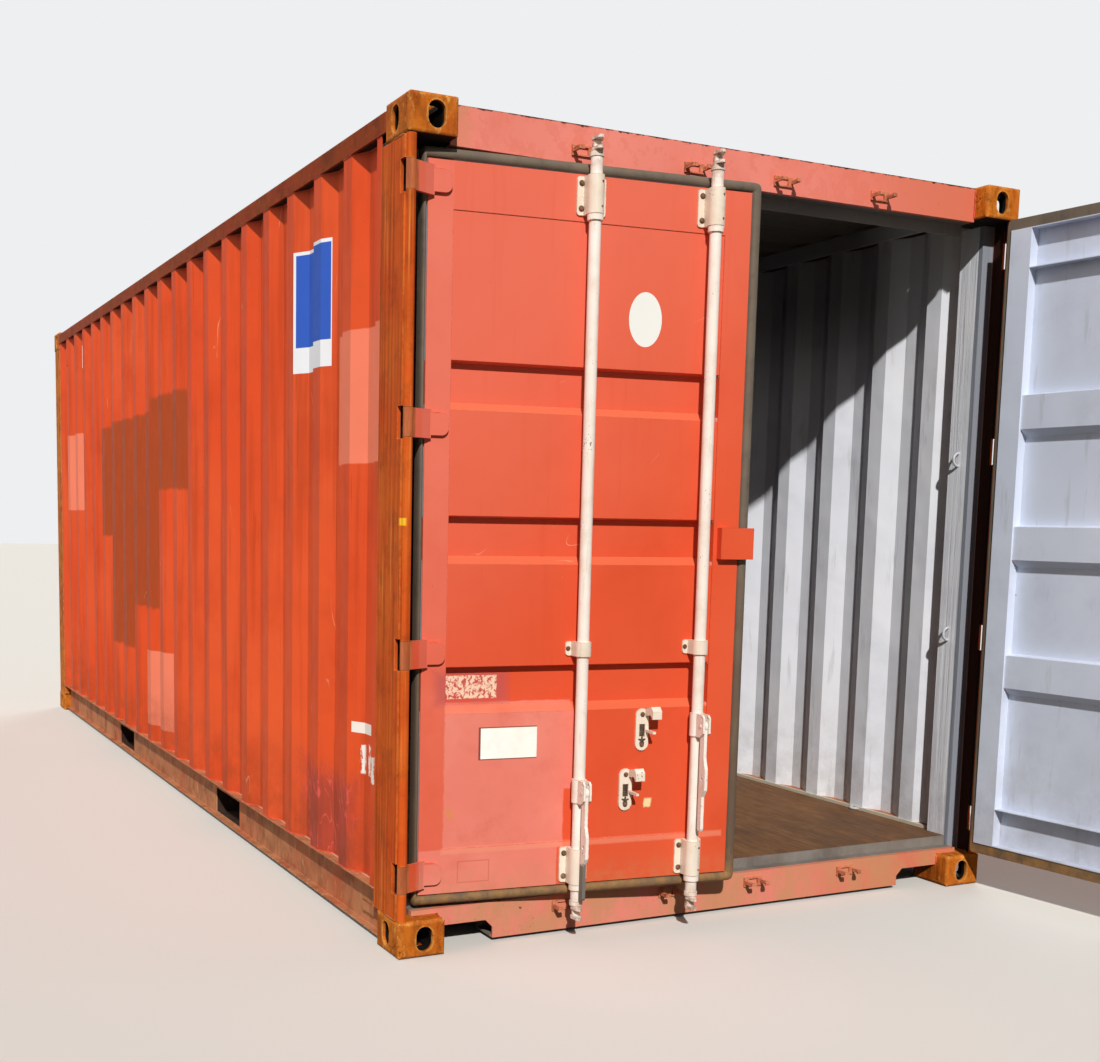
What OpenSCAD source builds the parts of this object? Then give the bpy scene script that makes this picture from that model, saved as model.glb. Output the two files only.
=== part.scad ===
// Twenty-foot steel shipping container with its left door closed and its right door open.
// The length runs along X with the doors at +X, left is -Y, and Z = 0 is the ground.
// Every door part is drawn once for the closed left door, and the right door mirrors it.

/* [Overall size] */
// Length over the corner castings
length = 6058; // [5600:1:6300]
// Width over the corner castings
width = 2438; // [2300:1:2600]
// Height over the corner castings
height = 2591; // [2400:1:2900]

/* [Corner castings] */
// Casting size along the length
cast_l = 178; // [170:1:190]
// Casting size across the width
cast_w = 162; // [155:1:175]
// Casting height
cast_h = 118; // [112:1:126]
// Thickness of the casting walls
cast_wall = 27; // [20:1:29]
// Rounding of the casting edges
cast_round = 12; // [6:1:14]
// Length of the slots in the top and bottom castings
slot_l = 124; // [110:1:126]
// Width of those slots
slot_w = 63.5; // [50:0.5:66]
// Distance of the middle of a slot from the end plane
slot_in_x = 102.5; // [95:0.5:108]
// Distance of the middle of a slot from the side plane
slot_in_y = 89.5; // [80:0.5:92]
// Width of the openings in the end and side faces
side_slot_w = 56; // [40:1:60]
// Height of the openings in the end and side faces
side_slot_h = 79; // [70:1:86]

/* [Posts] */
// Width of the rolled outer bar of a door post, along the length
post_bar_w = 117; // [90:1:130]
// Thickness of that bar
post_bar_t = 12; // [8:1:14]
// Length of the pressed inner part of a door post, behind the bar
post_box_l = 94; // [70:1:110]
// Thickness of pressed post plate
post_plate = 6; // [4:1:8]
// Depth of a door post from the side plane inwards
post_depth = 62; // [50:1:62]
// Length of a front post along the container
front_post_l = 193; // [150:1:220]
// Depth of a front post from the side plane inwards
front_post_w = 125; // [90:1:140]

/* [Rails] */
// Size of the square top side rail tube
top_rail = 60; // [50:1:70]
// Wall of the rail tubes
rail_wall = 4; // [3:0.5:6]
// Gap between the top of the side rails and the top of the castings
rail_drop = 20; // [16:1:26]
// Height of the top of the bottom rail over the ground
low_rail_h = 180; // [170:1:200]
// Height of the underside of the bottom rails over the ground
low_rail_z = 16; // [12:1:24]
// Width of the top flange of a bottom side rail
rail_flange = 48; // [40:1:60]
// Width of its bottom flange
rail_foot = 30; // [24:1:40]

/* [Corrugated sheets] */
// Thickness of wall, roof and door sheet
sheet = 2; // [1.6:0.2:3]
// Number of corrugations in a side wall
wall_waves = 20; // [12:1:24]
// Depth of the side wall corrugations
wall_depth = 36; // [24:1:40]
// Number of corrugations in the front wall
front_waves = 8; // [5:1:10]
// Depth of the front wall corrugations
front_depth = 45; // [30:1:50]
// Number of corrugations in the roof
roof_waves = 27; // [18:1:32]
// Depth of the roof corrugations
roof_depth = 10; // [6:1:12]

/* [Base] */
// Thickness of the floor boards
board_t = 28; // [21:1:32]
// Height of the floor surface over the ground
floor_top = 168; // [162:1:176]
// Seam between floor boards
board_seam = 1; // [0.5:0.5:3]
// Thickness of the cross member web
beam_t = 4; // [3:0.5:6]
// Height of the cross members
beam_h = 122; // [100:1:122]
// Width of the cross member flanges
beam_flange = 45; // [35:1:60]
// Distance from the middle to the middle of a forklift pocket
pocket_x = 1025; // [900:1:1200]
// Clear width of a forklift pocket
pocket_w = 360; // [300:1:400]
// Clear height of a forklift pocket
pocket_h = 110; // [95:1:112]
// Length of the plates under the ends of a pocket
pocket_plate_l = 200; // [150:1:300]

/* [Header and sill] */
// Distance of the header and sill face behind the end plane
header_back = 60; // [50:1:70]
// Depth of the header tube along the length
header_l = 60; // [45:1:75]
// Height of the header tube
header_h = 119; // [112:1:124]
// Distance of the header top below the casting tops
header_drop = 5; // [4:1:16]
// Height of the sill top over the ground
sill_top = 134; // [126:1:136]
// Underside of the shallow ends of the sill
sill_end_under = 76; // [66:1:90]
// Length of the shallow ends of the sill, from the side plane
sill_end_l = 359; // [270:1:500]
// Underside of the deep part of the sill
sill_under = 14; // [10:1:24]

/* [Doors] */
// Distance of the door face behind the end plane
door_back = 65; // [62:1:72]
// Thickness of a door leaf
door_t = 45; // [38:1:48]
// Height of the steel door frame above the ground, at its bottom
door_low_z = 184; // [180:1:190]
// Distance of the top of the steel door frame below the header
door_drop = 45; // [45:1:60]
// Distance of the hinge edge of a door frame from the side plane
door_edge_in = 85; // [83:1:94]
// Distance of the left door frame from the middle
left_meet = 31; // [30:1:40]
// Distance of the right door frame from the middle
right_meet = 42; // [42:1:50]
// Width of the upright stiles at the hinges
stile_w = 82; // [76:1:96]
// Width of the upright stiles at the meeting edges
meet_stile_w = 94; // [86:1:96]
// Height of the bottom rail of a door frame
door_rail_low = 142; // [130:1:150]
// Height of the top rail of a door frame
door_rail_high = 141; // [130:1:150]
// How far the door sheet lies behind the stile face
panel_back = 3; // [2:1:6]
// Depth of the folds in a door sheet
fold_depth = 33; // [20:1:36]
// Height of one recessed fold
fold_h = 123; // [90:1:140]
// Share of the door height that lies below the lowest fold
fold_start = 0.3217; // [0.319:0.0001:0.326]
// Share of the door height from one fold to the next
fold_share = 0.2093; // [0.205:0.0001:0.214]
// Height of the sloped underside of a fold
fold_slope = 26; // [18:1:40]
// Angle at which the left door stands ajar
left_open = 6; // [0:0.5:20]
// Angle at which the right door stands open
right_open = 96; // [60:1:130]

/* [Door seals] */
// Seal width at the hinge edge
seal_hinge = 17; // [12:1:17]
// Seal width at the top and bottom
seal_edge = 38; // [24:1:38]
// Seal width at the meeting edge of the left door
seal_left = 42; // [30:1:42]
// Seal width at the meeting edge of the right door
seal_right = 12; // [8:1:12]
// How far the seal stands out from the door face
seal_proud = 3; // [1:1:3]

/* [Hinges] */
// Distance of the hinge axis behind the end plane
hinge_back = 18; // [17:1:20]
// Distance of the hinge axis from the side plane
hinge_in = 17; // [16:1:18]
// Radius of the knuckles and of the rounded post nose
knuckle_r = 15; // [13:1:15]
// Radius of the hinge pins
pin_r = 7; // [5:1:8]
// Running clearance round pins and rods
fit = 0.05; // [0.02:0.01:0.1]
// Height of a hinge blade
blade_h = 87; // [70:1:95]
// Thickness of a hinge blade
blade_t = 12; // [9:1:14]
// How far a blade reaches over the door frame
blade_reach = 74; // [59:1:89]
// Height of the middle of the lowest blade over the bottom of the door frame
blade_low = 66; // [60:1:90]
// Distance of the middle of the highest blade below the top of the door frame
blade_high = 64; // [60:1:70]
// Gap above and below a knuckle
knuckle_gap = 1; // [0.5:0.5:2]

/* [Lock rods] */
// Radius of a lock rod
rod_r = 19; // [16:1:20]
// Distance of the rod axes behind the end plane
rod_back = 29; // [28:1:30]
// Distance of the outer rods from the hinge edge of a door frame
rod_in = 531; // [520:1:531]
// Distance from the middle to the inner rods
rod_inner = 181; // [174:1:181]
// Height of the middle of the top cams and keepers over the header underside
cam_up = 39; // [33:1:42]
// Distance of the middle of the bottom cams and keepers below the sill top
cam_down = 36; // [34:1:44]
// Radius of the cam neck
cam_neck = 13; // [11:1:14]
// Reach of the cam prongs from the rod axis
prong_reach = 40; // [34:1:44]
// Thickness of a cam prong
prong_t = 9; // [8:1:10]
// Gap between the two prongs of a cam
prong_gap = 22; // [22:1:24]
// Reach of the locking tooth behind the rod
tooth_reach = 25; // [22:1:26]
// Width of the locking tooth
tooth_w = 16; // [12:1:16]
// How far the prongs of an unlocked cam turn towards the middle
prong_angle = -6; // [-10:1:10]

/* [Cam keepers] */
// Half of the room between the two ears of a keeper
keeper_room = 30; // [30:1:33]
// Height of the keeper base plate
keeper_h = 32; // [30:1:32]
// Thickness of the keeper base plate
keeper_base = 8; // [6:1:10]
// Height of the keeper ears
ear_h = 12; // [10:1:12]
// Thickness of the keeper ears
ear_t = 8; // [6:1:9]
// How far the ears reach in front of the header face
ear_reach = 53; // [52:1:56]
// Length of the lips on the ears
ear_lip = 10; // [8:1:11]

/* [Rod brackets] */
// Width of the top and bottom rod brackets
bracket_w = 98; // [90:1:98]
// Height of the top and bottom rod brackets
bracket_h = 117; // [100:1:120]
// Width of the middle straps
strap_w = 90; // [76:1:91]
// Height of the middle straps
strap_h = 46; // [36:1:56]
// Height of the middle of the middle straps over the lowest fold
strap_up = 53; // [45:1:70]
// Thickness of the bracket base plates
bracket_t = 6; // [5:1:8]
// Wall of the bracket round the rod
bracket_wall = 7; // [5:1:8]

/* [Handles] */
// Distance of the handle pin on the outer rod below the lowest fold
handle_outer_drop = 405; // [400:1:410]
// Distance of the handle pin on the inner rod below the lowest fold
handle_inner_drop = 203; // [200:1:210]
// Distance from the rod axis to the handle pin
handle_off = 48; // [47:1:52]
// Length of a handle from its pin
handle_l = 350; // [330:1:350]
// Thickness of the handle bar
handle_t = 12; // [10:1:14]
// Width of the handle bar
handle_w = 24; // [20:1:26]
// Width of the broad middle of a handle
handle_broad = 36; // [28:1:44]
// Radius of the handle eye
eye_r = 16; // [14:1:17]
// Radius of the handle pin
handle_pin_r = 6; // [5:1:7]
// Thickness of the hub cheeks
cheek_t = 7; // [5:1:9]
// Height of the hub cheeks
cheek_h = 76; // [60:1:84]

/* [Handle retainers] */
// Distance from the outer rod to the lower retainer
retainer_low_off = 184; // [176:1:190]
// Distance from the inner rod to the upper retainer
retainer_high_off = 184; // [176:1:190]
// Width of a retainer plate
retainer_w = 47; // [44:1:54]
// Height of a retainer plate
retainer_h = 140; // [134:1:146]
// Thickness of a retainer plate
retainer_t = 6; // [4:1:8]
// Thickness left under the slot of a retainer
retainer_floor = 2; // [1.5:0.5:3]
// Distance of the middle of the lower retainer below the lowest fold
retainer_low_drop = 417; // [412:1:422]
// Distance of the middle of the upper retainer below the lowest fold
retainer_high_drop = 219; // [214:1:224]
// Room round a raised handle in its retainer
retainer_room = 5; // [5:1:7]

/* [Hidden] */
$fn = 48;

// Planes and levels that several pieces share
x_door = length / 2;
x_front = -length / 2;
side = width / 2;
header_x = x_door - header_back;
door_x = x_door - door_back;
door_in = door_x - door_t;
panel_x = door_x - panel_back;
hinge_x = x_door - hinge_back;
hinge_y = side - hinge_in;
rod_x = x_door - rod_back;
cast_top_z = height - cast_h;
rail_top_z = height - rail_drop;
rail_low_z = rail_top_z - top_rail;
header_top = height - header_drop;
header_under = header_top - header_h;
door_top_z = header_under - door_drop;
door_h = door_top_z - door_low_z;
door_edge = side - door_edge_in;
rod_outer = door_edge - rod_in;
cam_top_z = header_under + cam_up;
cam_low_z = sill_top - cam_down;
panel_low = door_low_z + door_rail_low;
panel_high = door_top_z - door_rail_high;
fold_z = door_low_z + door_h * fold_start;
fold_pitch = door_h * fold_share;
sill_deep_y = side - sill_end_l;
post_bar_x = x_door - post_bar_w;
post_in_x = post_bar_x - post_box_l;
front_post_x = x_front + front_post_l;
rail_web_y = side - rail_flange;
floor_under = floor_top - board_t;
beam_low = floor_under - beam_h;
left_edge = -left_meet;
right_edge = -right_meet;
jamb_gap = 7;
jamb_x = door_in - jamb_gap;
hinge_z = [door_low_z + blade_low, door_low_z + 0.3414 * door_h, door_low_z + 0.6533 * door_h,
  door_top_z - blade_high];
blade_end = door_edge - blade_reach;
hinge_pin_over = 32;
blade_notch = 41;
blade_room = 5;
tab_w = 122;
tab_h = 103;
tab_z = door_low_z + 0.497 * door_h;
strap_z = fold_z + strap_up;
top_bracket_z = door_top_z - 7 - bracket_h;
low_bracket_z = door_low_z + 8;
collar_h = 18;
cam_collar_h = 14;
handle_outer_z = fold_z - handle_outer_drop;
handle_inner_z = fold_z - handle_inner_drop;
retainer_low_z = fold_z - retainer_low_drop;
retainer_high_z = fold_z - retainer_high_drop;
retainer_low_y = rod_outer - retainer_low_off;
retainer_high_y = rod_inner + retainer_high_off;
plate_w = 192;
plate_h = 98;
plate_in = 121;
plate_drop = 197;
cam_root = rod_r - 2;
ring_r = 24;
ring_rod = 5;
ring_levels = [0.625 * height, 0.368 * height];
floor_ring_r = 20;

// Colours
paint = "indianred";
rust = "sienna";
cream = "linen";
rubber = "dimgray";
zinc = "darkgray";
inside = "lightsteelblue";
timber = "peru";

// Unit vector from one point to the next
function heading(a, b) = (b - a) / norm(b - a);

// Point of a folded line moved sideways by t, with mitred corners
function moved(p, i, t) =
  let (
    before = heading(p[max(i - 1, 0)], p[max(i, 1)]),
    after = heading(p[min(i, len(p) - 2)], p[min(i + 1, len(p) - 1)]),
    n1 = [-before[1], before[0]],
    n2 = [-after[1], after[0]]
  )
  p[i] + t * (n1 + n2) / (1 + n1 * n2);

// Outline of a folded sheet of thickness t that runs along the points p
function folded(p, t) = concat(p, [for (i = [len(p) - 1 : -1 : 0]) moved(p, i, t)]);

// Corrugated line from a to b: outer flats at 0 and inner flats at -depth
function waves(a, b, count, depth) =
  let (
    pitch = (b - a) / count,
    flat = pitch * 0.255,
    slope = pitch * 0.245
  )
  concat(
    [[a, 0]],
    [for (i = [0 : count - 1], k = [0 : 3])
      [a + pitch * i + flat / 2 + [0, slope, slope + flat, 2 * slope + flat][k],
       [0, -depth, -depth, 0][k]]],
    [[b, 0]]
  );

module both_sides() {
  children();
  mirror([0, 1, 0]) children();
}

// Flat plate with round corners, drawn on the ground plane
module round_rect(w, h, r) {
  translate([-w / 2 + r, -h / 2]) square([w - 2 * r, h]);
  translate([-w / 2, -h / 2 + r]) square([w, h - 2 * r]);
  for (x = [-1, 1], y = [-1, 1])
    translate([x * (w / 2 - r), y * (h / 2 - r)]) circle(r);
}

// Slot with round ends, drawn on the ground plane
module slot(l, w) {
  square([l - w, w], center = true);
  for (x = [-1, 1]) translate([x * (l - w) / 2, 0]) circle(d = w);
}

// Draws a y-z outline and gives it a thickness from x towards +X
module plate_yz(x, t) {
  translate([x, 0, 0]) rotate([90, 0, 90]) linear_extrude(t) children();
}

// Draws an x-z outline and gives it a length from y0 to y1
module along_y(y0, y1) {
  translate([0, y1, 0]) rotate([90, 0, 0]) linear_extrude(y1 - y0) children();
}

// Box given by its lowest and highest corners
module block(a, b) {
  translate(a) cube(b - a);
}

// Corner casting whose outer corner points to +X, -Y and up
module casting() {
  slot_x = cast_l - slot_in_x;
  difference() {
    intersection() {
      translate([cast_l / 2, cast_w / 2, 0])
        linear_extrude(cast_h) round_rect(cast_l, cast_w, cast_round);
      along_y(0, cast_w) translate([cast_l / 2, cast_h / 2])
        round_rect(cast_l, cast_h, cast_round);
      plate_yz(0, cast_l) translate([cast_w / 2, cast_h / 2])
        round_rect(cast_w, cast_h, cast_round);
    }
    block([cast_wall, cast_wall, cast_wall / 2],
          [cast_l - cast_wall, cast_w - cast_wall, cast_h - cast_wall]);
    translate([slot_x, slot_in_y, cast_h - 2 * cast_wall])
      linear_extrude(3 * cast_wall) slot(slot_l, slot_w);
    translate([slot_x, cast_wall + 1, cast_h / 2]) rotate([90, 90, 0])
      linear_extrude(2 * cast_wall) slot(side_slot_h, side_slot_w);
    translate([cast_l - cast_wall - 1, slot_in_y, cast_h / 2]) rotate([0, 90, 0])
      linear_extrude(2 * cast_wall) slot(side_slot_h, side_slot_w);
  }
}

// One casting at each top corner
module four_castings() {
  for (end = [0, 1])
    mirror([end, 0, 0]) both_sides()
      translate([x_door - cast_l, -side, height - cast_h]) casting();
}

module top_corner_castings() {
  color(rust) four_castings();
}

module bottom_corner_castings() {
  color(rust) translate([0, 0, height]) mirror([0, 0, 1]) four_castings();
}

// Door post of the left side, seen from above, with its round nose and door jamb
module post_plan() {
  bar_front = hinge_x - knuckle_r;
  bar_y = -side;
  translate([post_bar_x, bar_y]) square([bar_front + 4 - post_bar_x, post_bar_t]);
  translate([post_bar_x, bar_y]) square([post_bar_t, post_depth]);
  translate([bar_front - post_bar_t, bar_y]) square([post_bar_t + 4, 2 * post_bar_t]);
  difference() {
    translate([post_in_x, bar_y + 3]) square([post_box_l, post_depth - 3]);
    translate([post_in_x + post_plate, bar_y + 3 + post_plate])
      square([post_box_l - post_plate, post_depth - 3 - 2 * post_plate]);
  }
}

module left_post() {
  difference() {
    union() {
      translate([0, 0, cast_h]) linear_extrude(cast_top_z - cast_h) post_plan();
      difference() {
        translate([hinge_x, -hinge_y, cast_h])
          cylinder(r = knuckle_r, h = cast_top_z - cast_h);
        for (z = hinge_z)
          translate([hinge_x - knuckle_r - 1, -hinge_y - 2 * knuckle_r,
                     z - blade_h / 2 - knuckle_gap])
            cube([4 * knuckle_r, 4 * knuckle_r, blade_h + 2 * knuckle_gap]);
      }
    }
    for (z = hinge_z) {
      translate([hinge_x, -hinge_y, z - blade_h / 2 - hinge_pin_over - 2])
        cylinder(r = pin_r + fit, h = blade_h + 2 * hinge_pin_over + 4);
      block([hinge_x - blade_notch, -side - 1, z - blade_h / 2 - blade_room],
            [hinge_x - knuckle_r + 4.5, -side + post_depth, z + blade_h / 2 + blade_room]);
    }
  }
}

module left_door_post() {
  color(rust) left_post();
}

module right_door_post() {
  color(rust) mirror([0, 1, 0]) left_post();
}

// Hollow front corner posts
module front_posts() {
  chamfer = 20;
  color(rust) both_sides()
    translate([0, 0, cast_h]) linear_extrude(cast_top_z - cast_h) difference() {
      translate([x_front + 2, -side + 2]) polygon([
        [chamfer, 0], [front_post_l - 2, 0], [front_post_l - 2, 50],
        [60, front_post_w - 2], [0, front_post_w - 2], [0, chamfer]
      ]);
      translate([x_front + 2, -side + 2]) polygon([
        [chamfer + 3, post_plate], [front_post_l - 2 - post_plate, post_plate],
        [front_post_l - 2 - post_plate, 50 - post_plate],
        [60 - 3, front_post_w - 2 - post_plate], [post_plate, front_post_w - 2 - post_plate],
        [post_plate, chamfer + 3]
      ]);
    }
}

// Hollow header between the top castings, with the jamb behind the doors
module door_header() {
  inner_y = side - cast_w;
  color(paint) union() {
    difference() {
      block([header_x - header_l, -inner_y, header_under], [header_x, inner_y, header_top]);
      block([header_x - header_l + rail_wall, -inner_y - 1, header_under + rail_wall],
            [header_x - rail_wall, inner_y + 1, header_top - rail_wall]);
    }
    block([header_x - header_l, -inner_y, header_under - 42],
          [header_x - header_l + rail_wall - 1, inner_y, header_under]);
  }
}

// Sill between the bottom castings, shallow at its ends, with the threshold behind it
module door_sill() {
  end_y = side - post_depth - 6;
  cast_in = side - cast_w;
  slant = 26;
  color(paint) union() {
    plate_yz(header_x - post_plate, post_plate) polygon([
      [-cast_in, sill_top], [cast_in, sill_top], [cast_in, sill_end_under],
      [sill_deep_y + slant, sill_end_under], [sill_deep_y, sill_end_under - slant],
      [sill_deep_y, sill_under], [-sill_deep_y, sill_under],
      [-sill_deep_y, sill_end_under - slant], [-sill_deep_y - slant, sill_end_under],
      [-cast_in, sill_end_under]
    ]);
    block([jamb_x, -end_y, cast_h], [header_x, end_y, sill_top]);
    block([jamb_x - 60, -sill_deep_y, sill_under],
          [header_x, sill_deep_y, sill_under + post_plate]);
    block([jamb_x - 60, -cast_in, sill_end_under],
          [jamb_x - 60 + post_plate, cast_in, floor_under]);
    block([jamb_x - 60, -sill_deep_y, sill_under],
          [jamb_x - 60 + post_plate, sill_deep_y, sill_end_under]);
    block([jamb_x - 60, -end_y, floor_under - post_plate], [jamb_x, end_y, floor_under]);
    block([jamb_x - post_plate, -end_y, cast_h], [jamb_x, end_y, floor_top]);
  }
}

module front_top_rail() {
  inner_y = side - cast_w;
  color(rust) difference() {
    block([x_front + 6, -inner_y, rail_low_z], [x_front + 6 + top_rail, inner_y, rail_top_z]);
    block([x_front + 6 + rail_wall, -inner_y - 1, rail_low_z + rail_wall],
          [x_front + 6 + top_rail - rail_wall, inner_y + 1, rail_top_z - rail_wall]);
  }
}

module front_sill() {
  inner_y = side - cast_w;
  color(rust) difference() {
    block([x_front + 6, -inner_y, low_rail_z],
          [x_front + 6 + top_rail, inner_y, low_rail_h]);
    block([x_front + 6 + rail_wall, -inner_y - 1, low_rail_z + rail_wall],
          [x_front + 6 + top_rail - rail_wall, inner_y + 1, low_rail_h - rail_wall]);
  }
}

// Square tube between the top castings
module top_side_rail() {
  rail_x = length / 2 - cast_l;
  difference() {
    block([-rail_x, -side, rail_low_z], [rail_x, -side + top_rail, rail_top_z]);
    block([-rail_x - 1, -side + rail_wall, rail_low_z + rail_wall],
          [rail_x + 1, -side + top_rail - rail_wall, rail_top_z - rail_wall]);
  }
}

module left_top_rail() {
  color(rust) top_side_rail();
}

module right_top_rail() {
  color(rust) mirror([0, 1, 0]) top_side_rail();
}

// Channel that opens outwards, with the forklift openings in its web
module bottom_side_rail() {
  x0 = front_post_x;
  x1 = post_in_x;
  cast_x = length / 2 - cast_l;
  pocket_top = floor_under - 3;
  difference() {
    union() {
      block([x0, -side, low_rail_h - rail_wall], [x1, -rail_web_y, low_rail_h]);
      block([x0, -rail_web_y - rail_wall, low_rail_z],
            [x1, -rail_web_y, low_rail_h]);
      block([x0, -rail_web_y - rail_foot, low_rail_z],
            [x1, -rail_web_y, low_rail_z + rail_wall]);
      for (end = [[-cast_x, x0], [x1, cast_x]]) {
        block([end[0], -rail_web_y - rail_wall, low_rail_z],
              [end[1], -rail_web_y, cast_h]);
        block([end[0], -rail_web_y - rail_foot, low_rail_z],
              [end[1], -rail_web_y, low_rail_z + rail_wall]);
      }
    }
    for (x = [-pocket_x, pocket_x])
      block([x - pocket_w / 2, -side - 1, pocket_top - pocket_h],
            [x + pocket_w / 2, -rail_web_y + 1, pocket_top]);
  }
}

module left_bottom_rail() {
  color(rust) bottom_side_rail();
}

module right_bottom_rail() {
  color(rust) mirror([0, 1, 0]) bottom_side_rail();
}

// Corrugated side sheet from the bottom rail to the top rail
module side_wall() {
  translate([0, -side + 4, low_rail_h]) linear_extrude(rail_low_z - low_rail_h)
    mirror([0, 1]) polygon(folded(waves(front_post_x, post_in_x, wall_waves, wall_depth), -sheet));
}

module left_side_wall() {
  color(paint) side_wall();
}

module right_side_wall() {
  color(paint) mirror([0, 1, 0]) side_wall();
}

// Corrugated end sheet between the front posts
module front_wall() {
  half = side - front_post_w;
  color(paint) difference() {
    translate([x_front + 12, 0, low_rail_h]) linear_extrude(rail_low_z - low_rail_h)
      rotate(90) polygon(folded(waves(-half, half, front_waves, front_depth), -sheet));
    both_sides()
      block([x_front, -side, cast_top_z], [x_front + cast_l, -side + cast_w, height]);
  }
}

// Roof sheet on the rails, with closed ends to its corrugations and flat plates at its ends
module roof_sheet() {
  wave_x = length / 2 - cast_l;
  x0 = x_front + 6 + top_rail / 3;
  x1 = header_x - header_l;
  lap = side - top_rail / 2;
  wave_y = side - top_rail - 12;
  end_y = side - cast_w - 1;
  color(paint) union() {
    along_y(-wave_y, wave_y) translate([0, rail_top_z])
      polygon(folded(waves(-wave_x + 1, wave_x - 1, roof_waves, -roof_depth), sheet));
    both_sides() {
      block([-wave_x + 1, -lap, rail_top_z], [wave_x - 1, -wave_y, rail_top_z + sheet]);
      block([-wave_x + 1, -wave_y - sheet, rail_top_z],
            [wave_x - 1, -wave_y, rail_top_z + roof_depth + sheet]);
    }
    block([x0, -end_y, rail_top_z], [-wave_x + 2, end_y, rail_top_z + sheet]);
    block([wave_x - 2, -end_y, rail_top_z], [x1, end_y, rail_top_z + sheet]);
  }
}

// Plywood boards, two across and three along, cut round the posts
module floor_boards() {
  x0 = x_front + 6 + top_rail + 2;
  x1 = jamb_x - post_plate - 2;
  y_end = rail_web_y - 2;
  step = (x1 - x0) / 3;
  color(timber) difference() {
    for (i = [0 : 2], j = [0, 1])
      block([x0 + i * step, -y_end + j * y_end + (j == 1 ? board_seam / 2 : 0), floor_under],
            [x0 + (i + 1) * step - board_seam, j * y_end - (j == 0 ? board_seam / 2 : 0),
             floor_top]);
    both_sides() {
      block([x_front, -side, floor_under - 1],
            [front_post_x, -side + front_post_w, floor_top + 1]);
      block([post_in_x, -side, floor_under - 1], [x_door, -side + post_depth, floor_top + 1]);
    }
  }
}

// Channel section across the base, with its back at x
module cross_member(x) {
  along_y(-rail_web_y, rail_web_y) translate([x, 0]) difference() {
    translate([0, beam_low]) square([beam_flange, floor_under - beam_low]);
    translate([beam_t, beam_low + beam_t])
      square([beam_flange, floor_under - beam_low - 2 * beam_t]);
  }
}

module cross_members() {
  pocket_edge = pocket_x + pocket_w / 2 + beam_flange + 10;
  mid_edge = pocket_x - pocket_w / 2 - 2 * beam_flange - 10;
  outer_step = (post_in_x - 60 - pocket_edge) / 5;
  front_step = (-front_post_x - 60 - pocket_edge) / 5;
  color(rust) {
    for (i = [-2 : 2]) cross_member(i * mid_edge / 2);
    for (i = [1 : 5]) cross_member(pocket_edge + i * outer_step - beam_flange);
    for (i = [1 : 5]) cross_member(-pocket_edge - i * front_step);
  }
}

// Tunnels for forklift tines, open at both sides
module forklift_pockets() {
  top = floor_under - 3;
  color(rust)
    for (x = [-pocket_x, pocket_x]) union() {
      for (s = [-1, 1])
        translate([x + s * pocket_w / 2, 0, 0]) mirror([s > 0 ? 0 : 1, 0, 0])
          along_y(-rail_web_y, rail_web_y) difference() {
            translate([0, beam_low]) square([beam_flange, floor_under - beam_low]);
            translate([beam_t, beam_low + beam_t])
              square([beam_flange, floor_under - beam_low - 2 * beam_t]);
          }
      block([x - pocket_w / 2, -rail_web_y, top], [x + pocket_w / 2, rail_web_y, floor_under]);
      for (y = [-rail_web_y, rail_web_y - pocket_plate_l])
        block([x - pocket_w / 2, y, beam_low],
              [x + pocket_w / 2, y + pocket_plate_l, beam_low + beam_t]);
    }
}

// Keeper round the cam of the rod at distance y: a base plate with a window and two hooked ears
module keeper(y, z) {
  keeper_w = 2 * (keeper_room + ear_t);
  translate([header_x, -y, z]) {
    plate_yz(0, keeper_base) difference() {
      square([keeper_w, keeper_h], center = true);
      square([2 * (keeper_room - 10), ear_h + 10], center = true);
    }
    for (s = [0, 1])
      mirror([0, s, 0]) translate([0, 0, -ear_h / 2]) linear_extrude(ear_h) polygon([
        [0, keeper_room], [ear_reach - ear_t, keeper_room],
        [ear_reach - ear_t, keeper_room - ear_lip], [ear_reach, keeper_room - ear_lip],
        [ear_reach, keeper_room + ear_t - 3], [ear_reach - 3, keeper_room + ear_t],
        [0, keeper_room + ear_t]
      ]);
  }
}

module cam_keepers() {
  color(rust) both_sides()
    for (y = [rod_outer, rod_inner], z = [cam_low_z, cam_top_z]) keeper(y, z);
}

module hinge_pins() {
  color(zinc) both_sides()
    for (z = hinge_z)
      translate([hinge_x, -hinge_y, z - blade_h / 2 - hinge_pin_over])
        cylinder(r = pin_r, h = blade_h + 2 * hinge_pin_over);
}

// Half ring of a lashing point, standing on the ground plane towards +Y
module half_ring(r) {
  difference() {
    rotate_extrude() translate([r, 0]) circle(ring_rod);
    translate([-2 * r, -4 * r, -2 * ring_rod]) cube([4 * r, 4 * r, 4 * ring_rod]);
  }
}

// Lashing points on the inner face of each door post and along the bottom rails
module lashing_rings() {
  step = (post_in_x - front_post_x) / wall_waves;
  color(inside) both_sides() {
    for (z = ring_levels)
      translate([post_in_x + post_box_l / 2, -side + post_depth, z]) rotate([0, 90, 0])
        half_ring(ring_r);
    for (i = [1.5 : 6.5 : wall_waves - 5])
      translate([post_in_x - step * i, -rail_web_y, (floor_top + low_rail_h) / 2])
        half_ring(floor_ring_r);
  }
}

// Small cover over the air holes near the top of each side wall
module vents() {
  cover_l = 60;
  cover_h = 110;
  pitch = (post_in_x - front_post_x) / wall_waves;
  x = front_post_x + pitch * 1.0;
  color(paint) both_sides()
    block([x - cover_l / 2, -side, rail_low_z - 60 - cover_h],
          [x + cover_l / 2, -side + 4, rail_low_z - 60]);
}

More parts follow.
